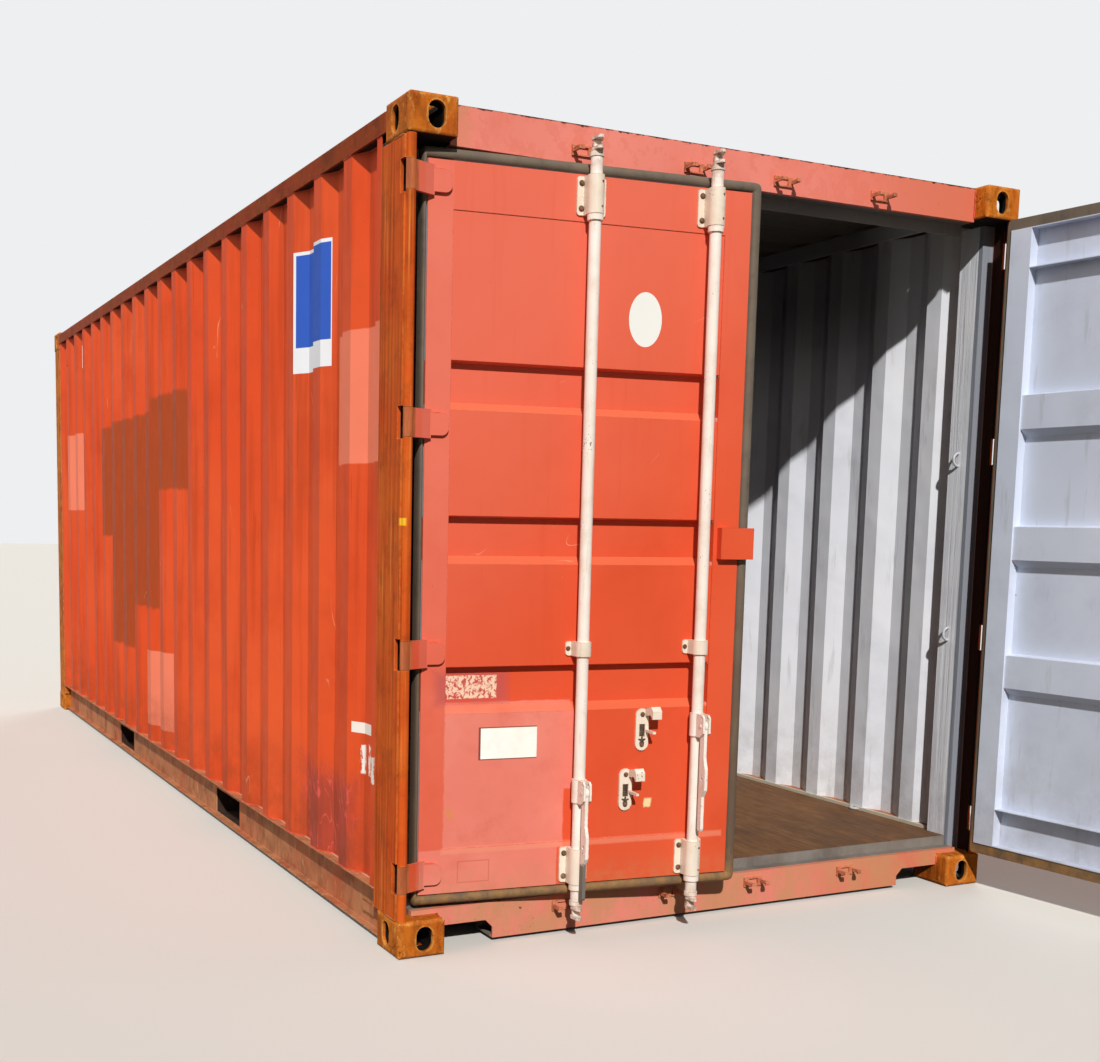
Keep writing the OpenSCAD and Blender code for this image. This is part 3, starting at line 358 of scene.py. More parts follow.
def sheetPaint(name, outward, level, axis, marks, lining="hold"):
    material, tree, shader, vector, normal = newMaterial(name)
    look = wallLook
    colour = use(tree, groups["tone"], {"Vector": vector, "Base": paint(*look["base"]),
                 "Faded": paint(*look["faded"]), "Deep": paint(*look["deep"]), "Scale": 0.8})
    runs = use(tree, groups["streaks"], {"Vector": vector, "Scale": 16, "Stretch": 0.05,
                                         "Amount": 0.42, "Soft": 0.12})
    colour = mix(tree, calc(tree, "MULTIPLY", runs, 0.42), colour, paint(*look["streak"]))
    thin = use(tree, groups["streaks"], {"Vector": vector, "Scale": 60, "Stretch": 0.03,
                                         "Amount": 0.33, "Soft": 0.05})
    colour = mix(tree, calc(tree, "MULTIPLY", thin, 0.5), colour, paint(*look["streak"]))
    if "brown" in marks:
        brown = patches(tree, vector, marks["brown"], axis, 0.012, 0.05)
        wear = ramp(tree, noise(tree, vec(tree, "MULTIPLY", vector, (1, 1, 0.2)), 40, 4, 0.7), 0.25, 0.6)
        brown = calc(tree, "MULTIPLY", brown, calc(tree, "MULTIPLY_ADD", wear, 0.2, 0.8))
        colour = mix(tree, brown, colour, paint(*look["brown"]))
    if "pink" in marks:
        pink = patches(tree, vector, marks["pink"], axis, 0.003, 0.006)
        colour = mix(tree, calc(tree, "MULTIPLY", pink, 0.85), colour, paint(*look["pink"]))
    if "smudge" in marks:
        smudge = patches(tree, vector, marks["smudge"], axis, 0.06, 0.12)
        colour = mix(tree, calc(tree, "MULTIPLY", smudge, 0.5), colour, paint(128, 62, 66))
        rub = use(tree, groups["scratches"], {"Vector": vector, "Scale": 30, "Width": 0.03,
                                              "Tilt": (0.2, 0.3, 0), "Amount": 0.6})
        colour = mix(tree, calc(tree, "MULTIPLY", rub, smudge), colour, paint(226, 92, 84))
    low = use(tree, groups["dirt"], {"Vector": vector, "Low": 0.16, "High": 0.62, "Scale": 5})
    colour = mix(tree, calc(tree, "MULTIPLY", low, 0.55), colour, paint(*look["dirt"]))
    chips = use(tree, groups["chips"], {"Vector": vector, "Scale": 85, "Amount": 0.22, "Cluster": 0.55})
    colour = mix(tree, chips, colour, paint(*look["chip"]))
    lines = use(tree, groups["scratches"], {"Vector": vector, "Scale": 9, "Width": 0.004,
                                            "Tilt": (0.15, 0.1, 0.0), "Amount": 0.38})
    colour = mix(tree, calc(tree, "MULTIPLY", lines, 0.6), colour, paint(*look["scratch"]))
    if "sticker" in marks:
        x0, x1, z0, z1 = marks["sticker"]
        rim = patches(tree, vector, [(x0, x1, z0, z1)], axis, 0.001)
        field = patches(tree, vector, [(x0 + 0.012, x1 - 0.004, z0 + 0.09, z1 - 0.012)], axis, 0.001)
        colour = mix(tree, rim, colour, paint(232, 234, 240))
        colour = mix(tree, field, colour, paint(52, 92, 190))
        white = calc(tree, "MAXIMUM", patches(tree, vector, marks["dash"], axis, 0.001),
                     patches(tree, vector, marks["pale"], axis, 0.001))
        flakes = ramp(tree, noise(tree, vec(tree, "MULTIPLY", vector, (1, 1, 0.4)), 60, 5, 0.7), 0.4, 0.46)
        torn = calc(tree, "MULTIPLY", patches(tree, vector, marks["torn"], axis, 0.002, 0.03), flakes)
        colour = mix(tree, calc(tree, "MAXIMUM", white, torn), colour, paint(*look["white"]))
    side = use(tree, groups["outer"], {"Vector": vector, "Normal": normal, "Outward": outward, "Level": level,
                                       "Limit": 0.05 if lining == "roof" else -0.05})
    colour = mix(tree, side, insideColour(tree, vector, lining), colour)
    dents = noise(tree, vector, 5.5, 2, 0.4)
    grain = noise(tree, vector, 260, 3, 0.6)
    height = calc(tree, "ADD", calc(tree, "MULTIPLY", dents, 6.0), calc(tree, "MULTIPLY", grain, 0.12))
    height = calc(tree, "SUBTRACT", height, calc(tree, "MULTIPLY", chips, 0.3))
    rough = calc(tree, "MULTIPLY_ADD", noise(tree, vector, 18, 3), 0.25, 0.42)
    dress(tree, shader, colour, rough, height, 0.0012, gloss=0.08)
    return material


# paint of the doors

doorLook = {
    "base": (217, 83, 50), "faded": (221, 90, 56), "deep": (208, 75, 43),
    "chalky": (226, 108, 85), "chalkyRise": (0.0, -0.636, 0.85), "chalkyStart": 1.285,
    "pink": (226, 128, 113), "dirt": (178, 136, 92), "chip": (118, 58, 36), "pale": (240, 205, 180),
    "repaint": [(-1.055, -0.610, 0.50, 0.787), (-1.055, -0.640, 0.309, 0.52), (-1.14, -0.66, 0.10, 0.325)], "stile": [(-1.15, -1.052, 0.1, 2.5)],
    "residue": [(-1.047, -0.868, 0.799, 0.873)], "oval": (-0.399, 2.0, 0.058, 0.085),
    "bruise": [(-1.086, -0.83, 0.787, 0.885)],
    "blob": [(-0.346, -0.320, 0.424, 0.452)], "patch": [(-1.004, -0.894, 0.213, 0.285)],
    "yellow": [(-1.040, -1.016, 0.425, 0.453)], "knuckle": (190, 104, 62),
    "seamHighlight": [(-1.06, -0.05, 0.309, 0.329)], "upFacingDustAndHighlight": (216, 116, 82),
    "plate": [(-0.9375, -0.7385, 0.6055, 0.7105)], "folds": [0.768, 1.236, 1.705],
}


def doorPaint(name, right, blades=False):
    # blades is for the hinge blades, which are painted all round
    material, tree, shader, real, normal = newMaterial(name)
    look, vector, left = doorLook, real, not right
    if left:
        # the marks are placed on the closed door
        vector = addNode(tree, "VectorRotate", {"Vector": real, "Angle": place["ajarAngle"],
                         "Center": (place["hingeX"], -place["hingeY"], 0.0)}, rotation_type="Z_AXIS").outputs[0]
    colour = use(tree, groups["tone"], {"Vector": vector, "Base": paint(*look["base"]),
                 "Faded": paint(*look["faded"]), "Deep": paint(*look["deep"]), "Scale": 1.2})
    if left:
        # the paint turns chalky towards the top and the hinges
        rise = calc(tree, "SUBTRACT", vec(tree, "DOT_PRODUCT", vector, look["chalkyRise"]), look["chalkyStart"])
        uneven = calc(tree, "MULTIPLY", noise(tree, vector, 2.5, 4, 0.6), 0.3)
        rise = calc(tree, "ADD", calc(tree, "SUBTRACT", rise, 0.15), uneven, clamp=True)
        colour = mix(tree, rise, colour, paint(*look["chalky"]))
    runs = use(tree, groups["streaks"], {"Vector": vector, "Scale": 30, "Stretch": 0.05,
                                         "Amount": 0.36, "Soft": 0.1})
    colour = mix(tree, calc(tree, "MULTIPLY", runs, 0.22), colour, paint(*look["deep"]))
    height = noise(tree, vector, 240, 3, 0.6)
    if left:
        repaint = patches(tree, vector, look["repaint"], 1, 0.003, 0.012)
        stile = patches(tree, vector, look["stile"], 1, 0.004, 0.0)
        mask = calc(tree, "MAXIMUM", repaint, calc(tree, "MULTIPLY", stile, 0.35))
        pinkish = use(tree, groups["tone"], {"Vector": vector, "Base": paint(*look["pink"]),
                      "Faded": paint(234, 140, 124), "Deep": paint(212, 110, 92), "Scale": 3.0})
        colour = mix(tree, calc(tree, "MULTIPLY", mask, 0.9), colour, pinkish)
        flakes = ramp(tree, noise(tree, vector, 70, 5, 0.75), 0.47, 0.5)
        label = patches(tree, vector, look["residue"], 1, 0.001, 0.004)
        bruise = patches(tree, vector, look["bruise"], 1, 0.02, 0.03)
        colour = mix(tree, calc(tree, "MULTIPLY", bruise, 0.6), colour, paint(176, 84, 88))
        shade = patches(tree, vector, look["plate"], 1, 0.0015)
        colour = mix(tree, calc(tree, "MULTIPLY", shade, 0.8), colour, paint(96, 44, 38))
        colour = mix(tree, calc(tree, "MULTIPLY", label, flakes), colour, paint(*look["pale"]))
        y, z, w, h = look["oval"]
        spot = vec(tree, "MULTIPLY", vec(tree, "SUBTRACT", vector, (0, y, z)), (0, 1 / w, 1 / h))
        size = addNode(tree, "VectorMath", {0: spot}, operation="LENGTH").outputs["Value"]
        outside = calc(tree, "GREATER_THAN", addNode(tree, "SeparateXYZ", {0: vector}).outputs[0], 2.95)
        oval = calc(tree, "MULTIPLY", calc(tree, "LESS_THAN", size, 1.0), outside)
        colour = mix(tree, oval, colour, paint(236, 236, 232))
        blob = patches(tree, vector, look["blob"], 1, 0.004, 0.02)
        colour = mix(tree, blob, colour, paint(238, 214, 160))
        stain = patches(tree, vector, look["yellow"], 1, 0.008, 0.06)
        colour = mix(tree, calc(tree, "MULTIPLY", stain, 0.5), colour, paint(214, 140, 66))
        rim = calc(tree, "SUBTRACT", patches(tree, vector, look["patch"], 1, 0.0015),
                   patches(tree, vector, [(a + 0.004, b - 0.004, c + 0.004, d - 0.004)
                                          for a, b, c, d in look["patch"]], 1, 0.0015))
        colour = mix(tree, calc(tree, "MULTIPLY", rim, 0.5), colour, paint(190, 92, 76))
        # painted highlight along the top edge of the low door rail
        seamHighlight = patches(tree, vector, look["seamHighlight"], 1, 0.004, 0.006)
        colour = mix(tree, calc(tree, "MULTIPLY", seamHighlight, 0.5), colour, paint(236, 148, 120))
    # up-facing faces turn lighter: dust on the ledges of the folds, with painted highlight
    tilt = addNode(tree, "SeparateXYZ", {0: normal}).outputs[2]
    colour = mix(tree, calc(tree, "MULTIPLY", ramp(tree, tilt, 0.1, 0.45), 0.55), colour, paint(*look["upFacingDustAndHighlight"]))
    low = use(tree, groups["dirt"], {"Vector": vector, "Low": 0.17, "High": 0.30, "Scale": 22})
    colour = mix(tree, calc(tree, "MULTIPLY", low, 0.4), colour, paint(*look["dirt"]))
    worn = use(tree, groups["edges"], {"Vector": vector, "Radius": 0.004, "Gain": 5.0, "Scale": 50})
    colour = mix(tree, calc(tree, "MULTIPLY", worn, 0.5), colour, paint(*look["chip"]))
    chips = use(tree, groups["chips"], {"Vector": vector, "Scale": 95, "Amount": 0.2, "Cluster": 0.5})
    colour = mix(tree, chips, colour, paint(*look["chip"]))
    # the hinge knuckles are as rusty as the post
    axis = (place["hingeX"], -place["hingeY"] if left else place["hingeY"], 0.0)
    reach = addNode(tree, "VectorMath", {0: vec(tree, "MULTIPLY", vec(tree, "SUBTRACT", real, axis), (1, 1, 0))},
                    operation="LENGTH").outputs["Value"]
    rusty = use(tree, groups["streaks"], {"Vector": vector, "Scale": 50, "Stretch": 0.15, "Amount": 0.5})
    knuckle = mix(tree, calc(tree, "MULTIPLY", rusty, 0.5), paint(*look["knuckle"]), paint(*look["chip"]))
    colour = mix(tree, ramp(tree, reach, 0.030, 0.022), colour, knuckle)
    lines = use(tree, groups["scratches"], {"Vector": vector, "Scale": 10, "Width": 0.003,
                                            "Tilt": (0.9, 0.2, 0.0), "Amount": 0.36})
    colour = mix(tree, calc(tree, "MULTIPLY", lines, 0.5), colour, paint(*look["pale"]))
    if not blades:
        outward = doorOut(right)
        # in front of the folds the outside reaches 30 mm deeper
        level = float(np.dot(onDoor([[2.9605, 0, 0]], right)[0], outward))
        folds = [(-9.0, 9.0, low, low + 0.13) for low in look["folds"]]
        level = calc(tree, "MULTIPLY_ADD", patches(tree, real, folds, 1, 0.001), -0.030, level)
        side = use(tree, groups["outer"], {"Vector": real, "Normal": normal, "Outward": outward, "Level": level})
        colour = mix(tree, side, insideColour(tree, real, "door"), colour)
    dents = noise(tree, vector, 4.5, 2, 0.4)
    height = calc(tree, "ADD", calc(tree, "MULTIPLY", dents, 5.0), calc(tree, "MULTIPLY", height, 0.12))
    height = calc(tree, "SUBTRACT", height, calc(tree, "MULTIPLY", chips, 0.3))
    rough = calc(tree, "MULTIPLY_ADD", noise(tree, vector, 20, 3), 0.25, 0.36)
    dress(tree, shader, colour, rough, height, 0.001, gloss=0.12)
    return material


headerLook = {
    "base": (227, 128, 113), "faded": (233, 138, 124), "deep": (214, 112, 92), "right": (213, 114, 90),
    "rust": (132, 68, 40), "edge": (70, 34, 24), "dust": (192, 142, 100), "dusty": 0.7, "turn": (0.2, 0.95),
}


def headerPaint(name, top, tan):
    # salmon paint; top is the height where a ragged dark edge begins, tan are dusty patches
    material, tree, shader, vector, normal = newMaterial(name)
    look = headerLook
    colour = use(tree, groups["tone"], {"Vector": vector, "Base": paint(*look["base"]),
                 "Faded": paint(*look["faded"]), "Deep": paint(*look["deep"]), "Scale": 1.4})
    along = addNode(tree, "SeparateXYZ", {0: vector}).outputs
    colour = mix(tree, ramp(tree, along[1], *look["turn"]), colour, paint(*look["right"]))
    blots = use(tree, groups["chips"], {"Vector": vector, "Scale": 22, "Amount": 0.4, "Cluster": 0.5})
    colour = mix(tree, calc(tree, "MULTIPLY", blots, 0.3), colour, paint(*look["deep"]))
    dusty = calc(tree, "MULTIPLY", patches(tree, vector, tan, 1, 0.03, 0.1),
                 ramp(tree, noise(tree, vec(tree, "MULTIPLY", vector, (1, 1, 0.5)), 9, 5, 0.7), 0.32, 0.62))
    colour = mix(tree, calc(tree, "MULTIPLY", dusty, look["dusty"]), colour, paint(*look["dust"]))
    worn = use(tree, groups["edges"], {"Vector": vector, "Radius": 0.004, "Gain": 5.0, "Scale": 45})
    colour = mix(tree, calc(tree, "MULTIPLY", worn, 0.4), colour, paint(*look["rust"]))
    jag = calc(tree, "MULTIPLY", calc(tree, "SUBTRACT", noise(tree, vector, 26, 6, 0.7), 0.5), 0.03)
    edge = ramp(tree, calc(tree, "ADD", along[2], jag), top - 0.002, top + 0.003)
    colour = mix(tree, edge, colour, paint(*look["edge"]))
    chips = use(tree, groups["chips"], {"Vector": vector, "Scale": 80, "Amount": 0.22, "Cluster": 0.6})
    colour = mix(tree, chips, colour, paint(*look["rust"]))
    # the header's inner side takes the dark roof lining, painted shade of the door jamb
    side = use(tree, groups["outer"], {"Vector": vector, "Normal": normal, "Outward": (1, 0, 0), "Level": 2.95,
                                       "Limit": 2.0})
    colour = mix(tree, side, insideColour(tree, vector, "roof"), colour)
    height = calc(tree, "SUBTRACT", noise(tree, vector, 200, 3, 0.6), calc(tree, "MULTIPLY", chips, 1.5))
    rough = calc(tree, "MULTIPLY_ADD", chips, 0.35, 0.42)
    dress(tree, shader, colour, rough, height, 0.0004, gloss=0.12)
    return material


# rusty steel of posts, castings, rails and keepers

rustLooks = {
    "post": {"base": (212, 98, 34), "light": (236, 152, 76), "dark": (136, 56, 16), "paint": (204, 78, 28),
             "grainScale": 55, "stretch": 0.022, "grain": 0.6, "spots": 0.25},
    "casting": {"base": (206, 118, 36), "light": (240, 182, 100), "dark": (120, 56, 14), "paint": (178, 84, 26),
                "grainScale": 34, "stretch": 0.4, "grain": 0.5, "spots": 0.33, "wear": (0.014, 8.0)},
    "topRail": {"base": (138, 60, 22), "light": (168, 90, 42), "dark": (84, 36, 14), "paint": (152, 58, 24),
                "grainScale": 20, "stretch": 0.9, "grain": 0.35, "spots": 0.28},
    "lowRail": {"base": (192, 130, 92), "light": (216, 168, 130), "dark": (104, 56, 38), "paint": (184, 98, 66),
                "grainScale": 14, "stretch": 0.5, "grain": 0.4, "spots": 0.28},
    "keeper": {"base": (208, 126, 94), "light": (226, 168, 130), "dark": (96, 46, 30), "paint": (212, 120, 92),
               "grainScale": 60, "stretch": 1.0, "grain": 0.3, "spots": 0.27},
    "under": {"base": (62, 48, 42), "light": (104, 78, 62), "dark": (30, 24, 22), "paint": (84, 52, 42),
              "grainScale": 16, "stretch": 0.8, "grain": 0.4, "spots": 0.3},
}


def boxMask(tree, vector, boxes):
    # the boxes count for both sides and both ends
    vector, total = vec(tree, "ABSOLUTE", vector), None
    for middle, half in boxes:
        mask = use(tree, groups["patch"], {"Vector": vector, "Center": middle, "Half": half, "Edge": 0.002})
        total = mask if total is None else calc(tree, "MAXIMUM", total, mask)
    return total


def rustSteel(name, look, zones=()):
    # zones are boxes with their own colour, or with the lining's paint where the colour is None
    material, tree, shader, vector, normal = newMaterial(name)
    colour = use(tree, groups["tone"], {"Vector": vector, "Base": paint(*look["base"]),
                 "Faded": paint(*look["paint"]), "Deep": paint(*look["dark"]), "Scale": 4.0})
    grain = use(tree, groups["streaks"], {"Vector": vector, "Scale": look["grainScale"],
                "Stretch": look["stretch"], "Amount": 0.45, "Soft": 0.12})
    colour = mix(tree, calc(tree, "MULTIPLY", grain, look["grain"]), colour, paint(*look["dark"]))
    pale = use(tree, groups["streaks"], {"Vector": vec(tree, "ADD", vector, (3, 5, 1)),
               "Scale": look["grainScale"] * 1.7, "Stretch": look["stretch"], "Amount": 0.36, "Soft": 0.08})
    colour = mix(tree, calc(tree, "MULTIPLY", pale, 0.55), colour, paint(*look["light"]))
    spots = use(tree, groups["chips"], {"Vector": vector, "Scale": 120, "Amount": look["spots"], "Cluster": 0.5})
    colour = mix(tree, spots, colour, paint(*look["dark"]))
    reach, gain = look.get("wear", (0.006, 5.0))
    worn = use(tree, groups["edges"], {"Vector": vector, "Radius": reach, "Gain": gain, "Scale": 35})
    colour = mix(tree, calc(tree, "MULTIPLY", worn, 0.6), colour, paint(*look["light"]))
    for boxes, tone in zones:
        colour = mix(tree, boxMask(tree, vector, boxes), colour, paint(*tone) if tone else insideColour(tree, vector))
    height = calc(tree, "ADD", calc(tree, "MULTIPLY", grain, -0.8), noise(tree, vector, 170, 5, 0.7))
    rough = calc(tree, "MULTIPLY_ADD", spots, 0.2, 0.62)
    dress(tree, shader, colour, rough, height, 0.0012, gloss=0.06)
    return material


# cream paint of the rods, brackets, handles and retainers

creamLook = {
    "base": (238, 226, 216), "faded": (8, 10, 12), "deep": (-18, -24, -32),
    "rust": (150, 96, 58), "dark": (92, 70, 58), "grease": (84, 80, 74),
}


def creamPaint(name, grip=None, dirtyEnds=True, base=None):
    material, tree, shader, vector, normal = newMaterial(name)
    look = creamLook
    base = np.array(base or look["base"])
    colour = use(tree, groups["tone"], {"Vector": vector, "Base": paint(*base), "Faded": paint(*(base + look["faded"])),
                                        "Deep": paint(*(base + look["deep"])), "Scale": 5.0})
    runs = use(tree, groups["streaks"], {"Vector": vector, "Scale": 70, "Stretch": 0.08,
                                         "Amount": 0.38, "Soft": 0.06})
    colour = mix(tree, calc(tree, "MULTIPLY", runs, 0.3), colour, paint(190, 160, 128))
    worn = use(tree, groups["edges"], {"Vector": vector, "Radius": 0.004, "Gain": 6.0, "Scale": 90})
    colour = mix(tree, calc(tree, "MULTIPLY", worn, 0.75), colour, paint(*look["rust"]))
    chips = use(tree, groups["chips"], {"Vector": vector, "Scale": 150, "Amount": 0.27, "Cluster": 0.6})
    colour = mix(tree, chips, colour, paint(*look["dark"]))
    up = addNode(tree, "SeparateXYZ", {0: vector}).outputs[2]
    if dirtyEnds:
        uneven = ramp(tree, noise(tree, vector, 40, 5, 0.7), 0.35, 0.65)
        ends = calc(tree, "MAXIMUM", ramp(tree, up, 2.40, 2.50), ramp(tree, up, 0.2, 0.08))
        colour = mix(tree, calc(tree, "MULTIPLY", calc(tree, "MULTIPLY", ends, uneven), 0.7),
                     colour, paint(*look["rust"]))
    if grip:
        rubbed = calc(tree, "ADD", up, calc(tree, "MULTIPLY", noise(tree, vector, 60, 4), 0.03))
        bare = ramp(tree, rubbed, grip + 0.012, grip)
        colour = mix(tree, calc(tree, "MULTIPLY", bare, 0.9), colour, paint(*look["grease"]))
    height = calc(tree, "SUBTRACT", noise(tree, vector, 220, 3, 0.6), calc(tree, "MULTIPLY", chips, 1.2))
    rough = calc(tree, "MULTIPLY_ADD", chips, 0.3, 0.4)
    dress(tree, shader, colour, rough, height, 0.0004)
    return material


def simpleSurface(name, base, light, dark, scale, rough, bumpScale, depth, metal=0.0, speck=0.2):
    # two tones, specks and a fine grain
    material, tree, shader, vector, normal = newMaterial(name)
    colour = use(tree, groups["tone"], {"Vector": vector, "Base": paint(*base), "Faded": paint(*light),
                                        "Deep": paint(*dark), "Scale": scale})
    specks = use(tree, groups["chips"], {"Vector": vector, "Scale": bumpScale, "Amount": speck, "Cluster": 0.5})
    colour = mix(tree, specks, colour, paint(*dark))
    height = calc(tree, "ADD", noise(tree, vector, bumpScale, 4, 0.6), calc(tree, "MULTIPLY", specks, -0.5))
    shine = calc(tree, "MULTIPLY_ADD", noise(tree, vector, scale * 4, 3), 0.2, rough - 0.1)
    dress(tree, shader, colour, shine, height, depth, metal)
    return material


def sealRubber():
    material, tree, shader, vector, normal = newMaterial("agedSealRubber")
    colour = use(tree, groups["tone"], {"Vector": vector, "Base": paint(104, 93, 82), "Faded": paint(120, 107, 92),
                                        "Deep": paint(74, 66, 58), "Scale": 5.0})
    height = addNode(tree, "SeparateXYZ", {0: vector}).outputs[2]
    colour = mix(tree, calc(tree, "MULTIPLY", ramp(tree, height, 1.7, 0.5), 0.7), colour, paint(94, 74, 58))
    dust = use(tree, groups["dirt"], {"Vector": vector, "Low": 0.10, "High": 0.32, "Scale": 16})
    colour = mix(tree, calc(tree, "MULTIPLY", dust, 0.9), colour, paint(170, 124, 70))
    runs = use(tree, groups["streaks"], {"Vector": vector, "Scale": 80, "Stretch": 0.1, "Amount": 0.4, "Soft": 0.1})
    colour = mix(tree, calc(tree, "MULTIPLY", runs, 0.3), colour, paint(120, 108, 88))
    dress(tree, shader, colour, 0.6, noise(tree, vector, 130, 4, 0.6), 0.0006)
    return material


def plywood():
    material, tree, shader, vector, normal = newMaterial("wornPlywood")
    along = vec(tree, "MULTIPLY", vector, (0.12, 1, 1))
    grain = noise(tree, along, 60, 6, 0.65, 1.5)
    colour = mix(tree, ramp(tree, grain, 0.3, 0.7), paint(100, 66, 40), paint(138, 98, 62))
    rings = noise(tree, along, 9, 3, 0.5, 2.0)
    colour = mix(tree, calc(tree, "MULTIPLY", ramp(tree, rings, 0.5, 0.56), 0.35), colour, paint(92, 58, 34))
    grimeAndPaintedShade = ramp(tree, noise(tree, vector, 2.2, 6, 0.7), 0.42, 0.7)
    colour = mix(tree, calc(tree, "MULTIPLY", grimeAndPaintedShade, 0.6), colour, paint(74, 60, 50))
    tracks = use(tree, groups["scratches"], {"Vector": vector, "Scale": 5, "Width": 0.01,
                                             "Tilt": (0.0, 1.5, 0.1), "Amount": 0.5})
    colour = mix(tree, calc(tree, "MULTIPLY", tracks, 0.4), colour, paint(52, 44, 38))
    dress(tree, shader, colour, 0.7, calc(tree, "ADD", grain, calc(tree, "MULTIPLY", tracks, -0.6)), 0.0012)
    return material


def cover(names, material):
    for name in names:
        mesh = nodes[name].data
        mesh.materials.clear()
        mesh.materials.append(material)
        mesh.polygons.foreach_set("material_index", np.zeros(len(mesh.polygons), np.int32))


# near-black painted shade for gaps, undersides and hollows, and a grey painted shade for the right post's rebate
grimeAndPaintedShade, paintedShadeGrey = (26, 21, 19), (138, 143, 154)
postInner = [((2.866, 1.1475, 1.3), (0.0515, 0.0175, 1.3))]
postRebate = [((2.9158, 1.1735, 1.3), (0.0107, 0.035, 1.3))]
# painted shade in the post's gap behind the door stile
postShade = [((2.9633, 1.150, 1.3), (0.0358, 0.0585, 1.3))]
railGrey = [((0.0, 1.10, 2.5), (2.82, 0.075, 0.12))]
# painted shade on the top rails' underside in the recesses of the side walls
railShade = [((0.0, 1.193, 2.51), (2.84, 0.0165, 0.004))]
lowRailPale = [((0.0, 1.10, 0.168), (2.82, 0.085, 0.02))]
# painted shade inside the castings' openings and on their undersides
castingShade = [((2.94, 1.138, 2.532), (0.077, 0.069, 0.047)), ((2.94, 1.138, 0.059), (0.077, 0.069, 0.047)),
                ((2.94, 1.138, 2.473), (0.087, 0.078, 0.003))]
creamGear = creamPaint("creamGearPaint")
creamPlate = creamPaint("creamPlatePaint", base=(230, 215, 198))
creamHandle = creamPaint("creamHandlePaint", grip=0.276, dirtyEnds=False)
castingRust = rustSteel("castingRust", rustLooks["casting"], [(castingShade, grimeAndPaintedShade)])
boltSteel = simpleSurface("rustyBoltSteel", (104, 72, 52), (150, 118, 92), (56, 38, 28), 30, 0.6, 300, 0.0003, 0.3, 0.3)
weldRed = simpleSurface("paintedWeld", (206, 80, 52), (224, 112, 84), (128, 56, 34), 12, 0.5, 260, 0.0004, 0.0, 0.25)
weldRust = simpleSurface("rustyWeld", (150, 78, 40), (196, 128, 78), (84, 40, 22), 14, 0.65, 240, 0.0004, 0.0, 0.3)
rubber = sealRubber()

cover(["left_side_wall"], sheetPaint("leftWallPaint", (0, -1, 0), 2.0, 0, leftMarks))
cover(["right_side_wall"], sheetPaint("rightWallPaint", (0, 1, 0), 2.0, 0, rightMarks))
cover(["front_wall"], sheetPaint("frontWallPaint", (-1, 0, 0), 4.0, 1, plainMarks))
cover(["roof_sheet"], sheetPaint("roofPaint", (0, 0, 1), 4.0, 0, plainMarks, "roof"))
cover(["vents"], sheetPaint("ventPaint", (0, 0, 1), -1.0, 0, plainMarks))
for side, right in (("left", False), ("right", True)):
    cover([side + "_door_frame", side + "_door_sheet"], doorPaint(side + "DoorPaint", right))
    cover([side + "_hinge_blades"], doorPaint(side + "BladePaint", right, blades=True))
cover(["door_header"], headerPaint("headerPaint", 2.583, [(-1.06, -1.00, 2.3, 2.6)]))
cover(["door_sill"], headerPaint("sillPaint", 4.0, [(-1.3, 1.3, 0.0, 0.2)]))
cover(["top_corner_castings", "bottom_corner_castings", "front_posts"], castingRust)
yellowDaub = [((3.008, 1.217, 1.351), (0.016, 0.012, 0.011))]
# each post's rebate behind its door gets painted shade: near-black on the left, grey on the right
for side, rebate, extra in (("left", grimeAndPaintedShade, [(yellowDaub, (240, 188, 50))]), ("right", paintedShadeGrey, [])):
    zones = [(postInner, None), (postRebate, rebate), (postShade, grimeAndPaintedShade)] + extra
    cover([side + "_door_post"], rustSteel(side + "PostRust", rustLooks["post"], zones))
cover(["left_top_rail", "right_top_rail", "front_top_rail"], rustSteel("topRailRust", rustLooks["topRail"],
      [(railGrey, None), (railShade, grimeAndPaintedShade)]))
cover(["left_bottom_rail", "right_bottom_rail", "front_sill"], rustSteel("lowRailRust", rustLooks["lowRail"],
      [(lowRailPale, (206, 196, 176))]))
cover(["cam_keepers"], rustSteel("keeperRust", rustLooks["keeper"]))
cover(["cross_members", "forklift_pockets"], rustSteel("underframeRust", rustLooks["under"]))
cover(["floor_boards"], plywood())
cover(["hinge_pins"], boltSteel)
cover(["lashing_rings"], simpleSurface("greyRingPaint", (178, 180, 188), (204, 204, 210), (104, 82, 66),
                                       20, 0.5, 260, 0.0003, 0.0, 0.3))
cover(["blank_plate"], simpleSurface("whitePlatePaint", (246, 246, 238), (251, 251, 246), (238, 236, 224),
                                     8, 0.4, 160, 0.0002, 0.0, 0.14))
cover(["left_rod_brackets", "right_rod_brackets", "left_retainers", "right_retainers"], creamPlate)
cover(["left_outer_rod", "left_inner_rod", "right_inner_rod", "right_outer_rod"], creamGear)
cover(["left_outer_handle", "left_inner_handle", "right_inner_handle", "right_outer_handle"], creamHandle)
print("materials set")

# surface makers


def gridFaces(rows, cols, wrapRows=False, wrapCols=False):
    # face (i, j) joins grid points (i, j), (i + 1, j), (i + 1, j + 1), (i, j + 1)
    i, j = np.meshgrid(np.arange(rows if wrapRows else rows - 1),
                       np.arange(cols if wrapCols else cols - 1), indexing="ij")
    nextI, nextJ = (i + 1) % rows, (j + 1) % cols
    return np.stack([i * cols + j, nextI * cols + j, nextI * cols + nextJ, i * cols + nextJ],
                    -1).reshape(-1, 4)


